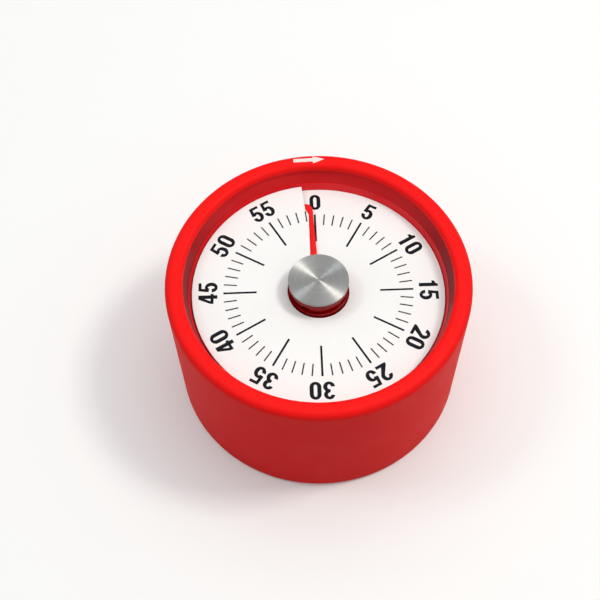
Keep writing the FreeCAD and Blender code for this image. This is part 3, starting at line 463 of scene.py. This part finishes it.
@dataclass(frozen=True)
class Ground:
    """Plain pale table, a little darker in slow patches, that throws less light back than it shows."""

    name: str
    colour: Colour
    patch: Colour
    bounce: Colour = (0.47, 0.47, 0.48)
    lift: float = 0.1
    patch_size: float = 400.0

    def make(self) -> bpy.types.Material:
        """The finished material."""
        shader = Shader(bpy.data.materials.new(self.name))
        clouds = shader.noise(self.patch_size, 2.0)
        seen = shader.add("ShaderNodeLightPath", {}, {}, "Is Camera Ray")
        for ray in ("Is Glossy Ray", "Is Transmission Ray"):
            seen = seen.math("MAXIMUM", shader.add("ShaderNodeLightPath", {}, {}, ray))
        surface = shader.surface(
            Base_Color=shader.blend(seen, self.bounce, shader.blend(clouds, self.colour, self.patch)),
            Roughness=0.6,
            Specular_IOR_Level=0.1,
            Emission_Color=shader.blend(seen, (0.0, 0.0, 0.0), (1.0, 1.0, 1.0)),
            Emission_Strength=self.lift,
        )
        return shader.finish(surface)


Finish = Union[SoftRubber, Moulded, Tinted, Metal, Ink, Ground]

# The sleeve's colours below the lip are painted shade, the second one deeper at its left and right.
SLEEVE_RUBBER = SoftRubber(
    "sleeve_rubber_red",
    colour=(0.97, 0.0075, 0.007),
    bloom=(0.93, 0.009, 0.008),
    throat=(0.76, 0.014, 0.018),
    throat_side=(0.24, 0.006, 0.010),
)
# The bezel's left and right are painted darker, as shade.
BEZEL_GLOSS = Moulded("bezel_gloss_red", (0.93, 0.022, 0.028), 0.3, coat=0.04, shine=0.15, side=0.8)
COVER_PLASTIC = Moulded("cover_plastic_red", (0.60, 0.016, 0.014), 0.5, grain=0.5, depth=0.015)
HOUSING_PLASTIC = Moulded("housing_plastic_grey", (0.11, 0.11, 0.12), 0.5, grain=0.5, depth=0.015)
CARRIER_PLASTIC = Moulded("carrier_plastic_white", (0.80, 0.78, 0.76), 0.45, grain=0.4, depth=0.008)
DIAL_SHEET = Moulded("dial_sheet_white", (0.95, 0.955, 0.95), 0.5, grain=0.25, depth=0.002, shine=0.2)
ACETAL = Moulded("acetal_cream", (0.83, 0.81, 0.74), 0.3)
DISC_FILM = Tinted("disc_film_red", (1.0, 0.010, 0.010), (0.98, 0.008, 0.008), 0.3, 0.4, 0.05)
HUB_TINT = Tinted("hub_tint_red", (0.30, 0.0005, 0.0015), (0.26, 0.0004, 0.001), 0.1, 0.15, 0.05)
KNOB_TINT = Tinted("knob_tint_dark_red", (0.30, 0.0005, 0.0015), (0.25, 0.0004, 0.001), 0.1, 0.15, 0.05)
KNOB_METAL = Metal("cap_spun_aluminium", (0.53, 0.53, 0.52), 0.46, Marks.SPUN, 0.7, 0.01, 1.0)
TURNED_STEEL = Metal("turned_steel", (0.56, 0.57, 0.58), 0.3, Marks.CAST)
BLUED_SPRING = Metal("blued_spring_steel", (0.15, 0.17, 0.24), 0.3, Marks.ROLLED)
BRASS_SHEET = Metal("brass_sheet", (0.72, 0.50, 0.20), 0.32, Marks.ROLLED)
BELL_PLATE = Metal("bell_plating", (0.74, 0.74, 0.75), 0.14, Marks.SPUN, 0.4, 0.001)
DIAL_INK = Ink("dial_ink_navy", (0.0022, 0.003, 0.0075), (0.004, 0.0055, 0.012))
ARROW_INK = Ink("arrow_ink_white", (0.90, 0.80, 0.78), (0.88, 0.66, 0.62))
SCREW_ZINC = Metal("screw_zinc", (0.50, 0.51, 0.53), 0.28, Marks.CAST)
TABLE = Ground("table_pale", (0.87, 0.875, 0.875), (0.855, 0.86, 0.86))

NODE_FINISHES: dict[Finish, tuple[str, ...]] = {
    SLEEVE_RUBBER: ("case_sleeve",),
    BEZEL_GLOSS: ("dial_bezel",),
    COVER_PLASTIC: ("rear_cover",),
    HOUSING_PLASTIC: ("inner_housing",),
    CARRIER_PLASTIC: ("dial_carrier",),
    DIAL_SHEET: ("dial_plate",),
    ACETAL: ("third_wheel", "third_pinion", "escape_wheel", "escape_pinion", "verge_lever"),
    DISC_FILM: ("timer_disc",),
    HUB_TINT: ("disc_hub",),
    KNOB_TINT: ("knob_body",),
    KNOB_METAL: ("knob_cap",),
    TURNED_STEEL: (
        "spindle",
        "spring_core",
        "release_cam",
        "striker_lever",
        "striker_arm",
        "striker_arbor",
        "second_arbor",
        "second_pinion",
        "third_arbor",
        "escape_arbor",
        "verge_arbor",
        "plate_pillars",
        "spring_anchor",
        "bell_post",
    ),
    BLUED_SPRING: ("mainspring", "clutch_spring"),
    BRASS_SHEET: (
        "great_wheel",
        "second_wheel",
        "clutch_collar",
        "spindle_bush",
        "striker_head",
        "movement_back_plate",
        "movement_front_plate",
    ),
    BELL_PLATE: ("bell",),
    SCREW_ZINC: ("pillar_screws", "movement_screws", "bell_screw", "cover_screws"),
}


class Workshop:
    """Materials that are already made, and the steps that every new piece goes through."""

    def __init__(self) -> None:
        """Starts with no materials."""
        self._made: dict[str, bpy.types.Material] = {}

    def material(self, finish: Finish) -> bpy.types.Material:
        """Makes a finish's material once.

        Args:
            finish: The finish.

        Returns:
            Its material.
        """
        if finish.name not in self._made:
            self._made[finish.name] = finish.make()
        return self._made[finish.name]

    def dress(self, piece: bpy.types.Object, finish: Finish) -> None:
        """Gives a whole piece one finish.

        Args:
            piece: The piece.
            finish: Its finish.
        """
        material = self.material(finish)
        if not piece.data.materials:
            piece.data.materials.append(material)
        for slot in piece.material_slots:
            slot.material = material

    def hand_over(self, piece: bpy.types.Object, name: str, body: str, finish: Finish, slot: str) -> None:
        """Names and dresses a new piece and fixes it to its body.

        Args:
            piece: The piece, in its place.
            name: Its name.
            body: Body that it moves with.
            finish: Its finish.
            slot: Record's material slot. Not used.
        """
        piece.name = name
        piece.data.name = name
        self.dress(piece, finish)
        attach(piece, body)
        LOG.info("%s: %d faces, on %s", name, len(piece.data.polygons), body)


def select_only(*pieces: bpy.types.Object) -> None:
    """Selects pieces and makes the first one active.

    Args:
        pieces: The pieces.
    """
    bpy.ops.object.select_all(action="DESELECT")
    for piece in pieces:
        piece.select_set(True)
    bpy.context.view_layer.objects.active = pieces[0]


def join(pieces: Sequence[bpy.types.Object]) -> bpy.types.Object:
    """Joins pieces to one.

    Args:
        pieces: The pieces.

    Returns:
        The joined piece.
    """
    select_only(*pieces)
    bpy.ops.object.join()
    return bpy.context.object


def choose_faces(test: Callable[[bmesh.types.BMFace], bool]) -> None:
    """Selects the faces of the piece in edit mode that pass a test, and nothing else.

    Args:
        test: Test of a face.
    """
    bpy.ops.mesh.select_mode(type="FACE")
    bpy.ops.mesh.select_all(action="DESELECT")
    sheet = bmesh.from_edit_mesh(bpy.context.object.data)
    for face in sheet.faces:
        face.select_set(test(face))
    sheet.select_flush_mode()
    bmesh.update_edit_mesh(bpy.context.object.data)


def thicken(piece: bpy.types.Object, thickness: float) -> None:
    """Draws a flat sheet up to a closed plate.

    Args:
        piece: The sheet, with its faces up.
        thickness: Thickness, in metres.
    """
    select_only(piece)
    bpy.ops.object.mode_set(mode="EDIT")
    bpy.ops.mesh.select_all(action="SELECT")
    bpy.ops.mesh.extrude_region_move(TRANSFORM_OT_translate={"value": (0.0, 0.0, thickness)})
    bpy.ops.mesh.select_all(action="SELECT")
    bpy.ops.mesh.normals_make_consistent(inside=False)
    bpy.ops.object.mode_set(mode="OBJECT")


@dataclass
class DialShape:
    """Screw-shaped dial that the printing lies on."""

    level: float = 37.4
    pitch: float = 2.0

    def height(self, angle: float) -> float:
        """Level of the dial.

        Args:
            angle: Clockwise angle from the 0 mark.

        Returns:
            The level, in millimetres.
        """
        return self.level + self.pitch * angle / FULL_TURN

    def lay(self, piece: bpy.types.Object, angle: float, sunk: float) -> None:
        """Turns a flat print to its angle and lays it on the dial.

        Args:
            piece: Print drawn around the +Y direction, with its underside at z = 0.
            angle: Clockwise angle of its middle.
            sunk: How deep its underside lies in the dial, in millimetres.
        """
        turn = math.radians(angle)
        for vertex in piece.data.vertices:
            x, y, z = vertex.co
            own = math.degrees(math.atan2(x, y))
            level = (self.height(angle + own) - sunk) * MM + z
            vertex.co = (
                x * math.cos(turn) + y * math.sin(turn),
                y * math.cos(turn) - x * math.sin(turn),
                level,
            )


class Contour:
    """Closed outline drawn with lines and arcs."""

    def __init__(self) -> None:
        """Starts an empty outline."""
        self.points: list[Point] = []

    def line(self, *points: Point) -> "Contour":
        """Adds straight sides.

        Args:
            points: Their ends.

        Returns:
            The outline.
        """
        self.points.extend(points)
        return self

    def arc(
        self, centre: Point, across: float, up: float, start: float, end: float, steps: int = 14
    ) -> "Contour":
        """Adds a part of an ellipse.

        Args:
            centre: Its centre.
            across: Half of its width.
            up: Half of its height.
            start: First angle, anticlockwise from the right.
            end: Last angle.
            steps: Number of sides.

        Returns:
            The outline.
        """
        for step in range(steps + 1):
            turn = math.radians(start + (end - start) * step / steps)
            self.points.append((centre[0] + across * math.cos(turn), centre[1] + up * math.sin(turn)))
        return self


class Digit(Enum):
    """Digits that the dial shows."""

    ZERO = "0"
    ONE = "1"
    TWO = "2"
    THREE = "3"
    FOUR = "4"
    FIVE = "5"


@dataclass
class DigitFace:
    """Bold, narrow digits on a body one unit tall, in this dial's own drawing."""

    width: float = 0.6
    stem: float = 0.21
    bar: float = 0.158

    def contours(self, digit: Digit) -> list[Contour]:
        """Outlines of a digit.

        Args:
            digit: The digit.

        Returns:
            Its outside, then its hole if it has one.
        """
        return {
            Digit.ZERO: self._zero,
            Digit.ONE: self._one,
            Digit.TWO: self._two,
            Digit.THREE: self._three,
            Digit.FOUR: self._four,
            Digit.FIVE: self._five,
        }[digit]()

    def _ring(self, inset_across: float, inset_up: float, bend: float) -> Contour:
        """Upright oval with straight sides.

        Args:
            inset_across: How far its sides lie inside the digit's.
            inset_up: How far its ends lie inside the digit's.
            bend: Height of its rounded ends.

        Returns:
            The oval.
        """
        middle = self.width / 2
        across = middle - inset_across
        high = 1.0 - inset_up - bend
        low = inset_up + bend
        ring = Contour().arc((middle, high), across, bend, 0.0, 180.0)
        return ring.arc((middle, low), across, bend, 180.0, 360.0)

    def _zero(self) -> list[Contour]:
        """Outlines of 0."""
        return [self._ring(0.0, 0.0, 0.3), self._ring(self.stem, self.bar, 0.14)]

    def _one(self) -> list[Contour]:
        """Outline of 1."""
        right = 0.47
        left = right - self.stem
        shape = Contour().line((left, 0.0), (right, 0.0), (right, 1.0), (left + 0.06, 1.0))
        shape.arc((left - 0.15, 1.0), 0.21, 0.17, 0.0, -82.0, 8)
        return [shape.line((left - 0.15, 0.685), (left, 0.685))]

    def _two(self) -> list[Contour]:
        """Outline of 2."""
        middle = self.width / 2
        top = self.bar + 0.012
        shape = Contour().arc((middle, 0.7), middle, 0.3, 180.0, -36.0, 22)
        shape.line((0.325, top), (self.width, top), (self.width, 0.0), (0.0, 0.0), (0.0, 0.13))
        return [shape.arc((middle, 0.7), middle - self.stem, 0.3 - self.bar, -44.0, 180.0, 18)]

    def _three(self) -> list[Contour]:
        """Outline of 3."""
        middle = self.width / 2
        inner = middle - self.stem
        shape = Contour().arc((middle - 0.01, 0.735), middle - 0.02, 0.265, 176.0, -42.0, 22)
        shape.arc((middle, 0.29), middle, 0.29, 46.0, -178.0, 24)
        shape.arc((middle, 0.29), inner, 0.29 - self.bar, -178.0, 84.0, 20)
        shape.line((0.23, 0.434), (0.23, 0.58))
        return [shape.arc((middle - 0.01, 0.735), inner - 0.01, 0.265 - self.bar, -84.0, 176.0, 18)]

    def _four(self) -> list[Contour]:
        """Outlines of 4."""
        right = 0.515
        left = right - self.stem
        low, high = 0.2, 0.2 + self.bar
        outside = Contour().line((left, 0.0), (left, low), (0.0, low), (0.0, high + 0.02))
        outside.line((left - 0.03, 1.0), (right, 1.0), (right, high), (self.width, high))
        outside.line((self.width, low), (right, low), (right, 0.0))
        return [outside, Contour().line((left, high), (left, 0.68), (0.16, high))]

    def _five(self) -> list[Contour]:
        """Outline of 5."""
        middle = self.width / 2
        top = 1.0 - self.bar
        shape = Contour().line((0.09, 1.0), (0.575, 1.0), (0.575, top), (0.235, top), (0.217, 0.658))
        shape.arc((middle, 0.325), middle, 0.335, 104.0, -176.0, 26)
        shape.arc((middle, 0.325), middle - self.stem, 0.335 - self.bar, -172.0, 150.0, 20)
        return [shape.line((0.2, 0.44), (0.018, 0.465))]


@dataclass
class Printing:
    """Numbers and minute marks on the dial."""

    shop: Workshop
    dial: DialShape = field(default_factory=DialShape)
    face: DigitFace = field(default_factory=DigitFace)
    number_foot: float = 26.6
    number_turn: float = 0.4
    number_height: float = 5.0
    digit_gap: float = 0.45
    minutes_per_number: int = 5
    minutes: int = 60
    mark_outer: float = 25.05
    long_inner: float = 16.3
    short_inner: float = 21.6
    long_width: float = 0.55
    short_width: float = 0.35
    thickness: float = 0.03
    sunk: float = 0.012

    def build(self) -> None:
        """Makes the numbers and marks and fixes them to the case."""
        masters = {digit.value: self._digit(digit) for digit in Digit}
        numbers = []
        for minute in range(0, self.minutes, self.minutes_per_number):
            numbers.extend(self._number(str(minute), self._angle(minute) + self.number_turn, masters))
        for master in masters.values():
            bpy.data.objects.remove(master)
        self.shop.hand_over(join(numbers), "dial_numbers", "case", DIAL_INK, "dial_white")
        marks = [self._mark(minute) for minute in range(self.minutes)]
        self.shop.hand_over(join(marks), "minute_marks", "case", DIAL_INK, "dial_white")

    def _angle(self, minute: int) -> float:
        """Clockwise angle of a minute."""
        return FULL_TURN * minute / self.minutes

    def _digit(self, digit: Digit) -> bpy.types.Object:
        """Cuts one digit out of a sheet of ink.

        Args:
            digit: The digit.

        Returns:
            A plate of ink, with its lower left corner at the origin.
        """
        curve = bpy.data.curves.new(f"digit_{digit.value}", "CURVE")
        curve.dimensions = "2D"
        curve.fill_mode = "FRONT"
        scale = self.number_height * MM
        for contour in self.face.contours(digit):
            spline = curve.splines.new("POLY")
            spline.points.add(len(contour.points) - 1)
            for point, (x, y) in zip(spline.points, contour.points):
                point.co = (x * scale, y * scale, 0.0, 1.0)
            spline.use_cyclic_u = True
        outline = bpy.data.objects.new(curve.name, curve)
        bpy.context.scene.collection.objects.link(outline)
        select_only(outline)
        bpy.ops.object.convert(target="MESH")
        plate = bpy.context.object
        thicken(plate, self.thickness * MM)
        return plate

    def _number(
        self, text: str, angle: float, masters: Mapping[str, bpy.types.Object]
    ) -> Iterable[bpy.types.Object]:
        """Sets a number from its digits.

        Args:
            text: The number.
            angle: Clockwise angle of its middle.
            masters: One plate for each digit.

        Yields:
            The digits' plates, on the dial.
        """
        step = self.face.width * self.number_height + self.digit_gap
        start = -(len(text) * step - self.digit_gap) / 2
        for index, character in enumerate(text):
            copy = bpy.data.objects.new(f"number_{text}_{index}", masters[character].data.copy())
            bpy.context.scene.collection.objects.link(copy)
            for vertex in copy.data.vertices:
                vertex.co.x += (start + index * step) * MM
                vertex.co.y += self.number_foot * MM
            self.dial.lay(copy, angle, self.sunk)
            yield copy

    def _mark(self, minute: int) -> bpy.types.Object:
        """Rules the mark of a minute.

        Args:
            minute: The minute.

        Returns:
            A plate of ink, on the dial.
        """
        if minute % self.minutes_per_number == 0:
            inner, width = self.long_inner, self.long_width
        else:
            inner, width = self.short_inner, self.short_width
        middle = (inner + self.mark_outer) / 2 * MM
        bpy.ops.object.select_all(action="DESELECT")
        bpy.ops.mesh.primitive_plane_add(size=1.0, location=(0.0, 0.0, 0.0))
        mark = bpy.context.object
        mark.name = f"mark_{minute}"
        for vertex in mark.data.vertices:
            vertex.co.x *= width * MM
            vertex.co.y = vertex.co.y * (self.mark_outer - inner) * MM + middle
        thicken(mark, self.thickness * MM)
        self.dial.lay(mark, self._angle(minute), self.sunk)
        return mark


@dataclass
class RimArrow:
    """White arrow in the rim's sunk arrow, which shows the way that the knob is turned."""

    shop: Workshop
    ring: float = 37.7
    angle: float = 1.65
    length: float = 8.55
    shaft_width: float = 1.2
    head_length: float = 3.25
    head_width: float = 2.5
    floor: float = 45.4
    rim_top: float = 45.5
    outer: float = 40.0
    outer_round: float = 2.0
    mouth: float = 35.2
    mouth_round: float = 1.5
    thickness: float = 0.05
    sunk: float = 0.02
    cuts: int = 12

    def build(self) -> None:
        """Makes the arrow and fixes it to the case."""
        tip = self.length / 2
        neck = tip - self.head_length
        shaft = self._sheet(-tip, neck, self.shaft_width)
        head = self._sheet(neck, tip, self.head_width)
        for vertex in head.data.vertices:
            vertex.co.y *= (tip * MM - vertex.co.x) / (self.head_length * MM)
        arrow = join([shaft, head])
        bpy.ops.object.mode_set(mode="EDIT")
        bpy.ops.mesh.select_all(action="SELECT")
        bpy.ops.mesh.remove_doubles(threshold=MERGE_DISTANCE)
        bpy.ops.object.mode_set(mode="OBJECT")
        thicken(arrow, self.thickness * MM)
        turn = math.radians(self.angle)
        for vertex in arrow.data.vertices:
            along, out, up = vertex.co
            out += self.ring * MM
            level = min(self._level(math.hypot(along, out) / MM), self.floor) - self.sunk
            vertex.co = (
                along * math.cos(turn) - out * math.sin(turn),
                along * math.sin(turn) + out * math.cos(turn),
                level * MM + up,
            )
        self.shop.hand_over(arrow, "rim_arrow", "case", ARROW_INK, "dial_white")

    def _sheet(self, start: float, end: float, width: float) -> bpy.types.Object:
        """Divided flat sheet of ink.

        Args:
            start: Where it starts along the rim.
            end: Where it ends.
            width: Its width.

        Returns:
            The sheet.
        """
        bpy.ops.object.select_all(action="DESELECT")
        bpy.ops.mesh.primitive_grid_add(x_subdivisions=self.cuts, y_subdivisions=self.cuts, size=1.0)
        sheet = bpy.context.object
        for vertex in sheet.data.vertices:
            vertex.co.x = (vertex.co.x * (end - start) + (start + end) / 2) * MM
            vertex.co.y *= width * MM
        return sheet

    def _level(self, radius: float) -> float:
        """Height of the rim.

        Args:
            radius: Distance from the axis, in millimetres.

        Returns:
            The height, in millimetres.
        """
        for corner, curve in (
            (radius - (self.outer - self.outer_round), self.outer_round),
            (self.mouth + self.mouth_round - radius, self.mouth_round),
        ):
            if corner > 0.0:
                return self.rim_top - curve + math.sqrt(max(curve**2 - corner**2, 0.0))
        return self.rim_top


@dataclass
class CoverScrews:
    """Pan-head screws of the rear cover, with a crossed recess."""

    shop: Workshop
    count: int = 3
    ring: float = 32.3
    first_bearing: float = 60.0
    head_radius: float = 1.8
    head_bottom: float = 0.4
    seat: float = 1.4
    shank_radius: float = 1.0
    tip: float = 7.3
    point_length: float = 0.6
    point_share: float = 0.35
    head_round: float = 0.35
    head_inset: float = 0.25
    slot_length: float = 2.0
    slot_width: float = 0.5
    slot_depth: float = 0.55
    sides: int = 48

    def build(self) -> None:
        """Makes the screws, fixes them to the case and lets them stand for the plain ones."""
        master = self._screw()
        screws = []
        for index in range(self.count):
            bearing = math.radians(self.first_bearing + FULL_TURN * index / self.count)
            copy = bpy.data.objects.new(f"screw_{index}", master.data.copy())
            bpy.context.scene.collection.objects.link(copy)
            for vertex in copy.data.vertices:
                vertex.co.x += self.ring * MM * math.cos(bearing)
                vertex.co.y += self.ring * MM * math.sin(bearing)
            screws.append(copy)
        bpy.data.objects.remove(master)
        piece = join(screws)
        self.shop.hand_over(piece, "crossed_cover_screws", "case", SCREW_ZINC, "steel")
        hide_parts("cover_screws")

    def _screw(self) -> bpy.types.Object:
        """One screw on the Z axis, head down."""
        bpy.ops.object.select_all(action="DESELECT")
        middle = (self.head_bottom + self.seat) / 2
        bpy.ops.mesh.primitive_cylinder_add(
            vertices=self.sides,
            radius=self.head_radius * MM,
            depth=(self.seat - self.head_bottom) * MM,
            location=(0.0, 0.0, middle * MM),
        )
        screw = bpy.context.object
        bpy.ops.object.transform_apply(location=True)
        bpy.ops.object.mode_set(mode="EDIT")
        choose_faces(lambda face: face.normal.z > LEVEL_FACE)
        bpy.ops.mesh.inset(thickness=(self.head_radius - self.shank_radius) * MM, depth=0.0)
        for length in (self.tip - self.seat - self.point_length, self.point_length):
            bpy.ops.mesh.extrude_region_move(TRANSFORM_OT_translate={"value": (0.0, 0.0, length * MM)})
        bpy.ops.transform.resize(value=(self.point_share, self.point_share, 1.0))
        choose_faces(lambda face: face.normal.z < -LEVEL_FACE)
        bpy.ops.mesh.inset(thickness=self.head_inset * MM, depth=0.0)
        bpy.ops.object.mode_set(mode="OBJECT")
        edge = (self.head_radius - self.head_inset / 2) * MM
        for vertex in screw.data.vertices:
            if vertex.co.z < middle * MM and vertex.co.xy.length > edge:
                vertex.co.z += self.head_round * MM
        self._recess(screw)
        return screw

    def _recess(self, screw: bpy.types.Object) -> None:
        """Sinks the crossed recess in a screw's head.

        Args:
            screw: The screw.
        """
        cutters = []
        for length, width in ((self.slot_length, self.slot_width), (self.slot_width, self.slot_length)):
            bpy.ops.object.select_all(action="DESELECT")
            bpy.ops.mesh.primitive_cube_add(size=1.0, location=(0.0, 0.0, self.head_bottom * MM))
            cutter = bpy.context.object
            cutter.scale = (length * MM, width * MM, 2.0 * self.slot_depth * MM)
            bpy.ops.object.transform_apply(location=True, scale=True)
            cutters.append(cutter)
        for cutter in cutters:
            modifier = screw.modifiers.new("recess", "BOOLEAN")
            modifier.operation = "DIFFERENCE"
            modifier.object = cutter
            modifier.solver = "EXACT"
            select_only(screw)
            bpy.ops.object.modifier_apply(modifier=modifier.name)
            bpy.data.objects.remove(cutter)


@dataclass
class Softbox:
    """Square soft lamp that faces the timer."""

    name: str
    direction: Triple
    distance: float
    size: float
    power: float
    colour: Colour

    def build(self) -> None:
        """Hangs the lamp."""
        lamp = bpy.data.lights.new(self.name, "AREA")
        lamp.shape = "SQUARE"
        lamp.size = self.size
        lamp.energy = self.power
        lamp.color = self.colour
        holder = bpy.data.objects.new(self.name, lamp)
        bpy.context.scene.collection.objects.link(holder)
        toward = Vector(self.direction).normalized()
        holder.location = toward * self.distance
        holder.rotation_euler = toward.to_track_quat("Z", "Y").to_euler()


@dataclass
class Studio:
    """Floor, lamps and camera."""

    shop: Workshop
    floor_size: float = 6.0
    sky: float = 0.40
    dusk_front: float = 0.10
    dusk_side: float = 0.42
    dusk_from: float = 0.1
    dusk_to: float = 0.5
    lens: float = 73.635
    sensor: float = 36.0
    nearest: float = 10.0
    camera_place: Triple = (-7.218, -164.899, 316.472)
    camera_turn: Triple = (30.2807, 0.6505, -1.9112)

    def build(self) -> None:
        """Sets the whole studio up."""
        self._floor()
        self._sky()
        for lamp in (
            Softbox("right_softbox", (0.49, 0.04, 0.87), 1.1, 0.2, 3.9, (1.0, 0.97, 0.90)),
            Softbox("right_wide", (0.45, 0.03, 0.89), 1.3, 1.1, 1.6, (1.0, 0.99, 0.97)),
            Softbox("left_softbox", (-0.54, 0.05, 0.84), 1.1, 0.24, 1.45, (0.86, 0.98, 1.0)),
            Softbox("top_softbox", (0.0, 0.22, 1.0), 1.6, 1.4, 6.6, (1.0, 1.0, 1.0)),
        ):
            lamp.build()
        self._camera()
        settings = bpy.context.scene.view_settings
        settings.view_transform = "Standard"

    def _floor(self) -> None:
        """Lays the floor."""
        bpy.ops.object.select_all(action="DESELECT")
        bpy.ops.mesh.primitive_plane_add(size=self.floor_size)
        floor = bpy.context.object
        floor.name = "table"
        self.shop.dress(floor, TABLE)

    def _sky(self) -> None:
        """Fills the studio with even light that fades towards the floor, most at the front and back."""
        shader = Shader(bpy.data.worlds.new("studio"))
        direction = shader.add("ShaderNodeTexCoord", {}, {}, "Generated")
        height = shader.add("ShaderNodeSeparateXYZ", {}, {0: direction}, "Z")
        across = shader.add("ShaderNodeSeparateXYZ", {}, {0: direction}, "X")
        rise = ((height - self.dusk_from) / (self.dusk_to - self.dusk_from)).share()
        low = across * across * (self.dusk_side - self.dusk_front) + self.dusk_front
        light = low + rise * (self.sky - low)
        settings = {"Color": (1.0, 1.0, 1.0, 1.0), "Strength": light}
        bpy.context.scene.world = shader.finish(shader.add("ShaderNodeBackground", {}, settings))

    def _camera(self) -> None:
        """Sets the camera up where the photograph was taken from."""
        data = bpy.data.cameras.new("camera")
        data.sensor_width = self.sensor
        data.lens = self.lens
        data.clip_start = self.nearest * MM
        holder = bpy.data.objects.new("camera", data)
        bpy.context.scene.collection.objects.link(holder)
        holder.location = Vector(self.camera_place) * MM
        holder.rotation_euler = [math.radians(angle) for angle in self.camera_turn]
        bpy.context.scene.camera = holder


def dress_nodes(shop: Workshop) -> None:
    """Gives every solid of the frame its finish.

    Args:
        shop: Where the materials are made.
    """
    for finish, names in NODE_FINISHES.items():
        for name in names:
            shop.dress(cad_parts[name], finish)
    LOG.info("%d solids dressed", sum(len(names) for names in NODE_FINISHES.values()))


def main() -> None:
    """Builds the looks in order."""
    logging.basicConfig(level=logging.INFO, format="%(name)s: %(message)s")
    shop = Workshop()
    dress_nodes(shop)
    Printing(shop).build()
    RimArrow(shop).build()
    CoverScrews(shop).build()
    Studio(shop).build()


if __name__ == "__main__":
    main()
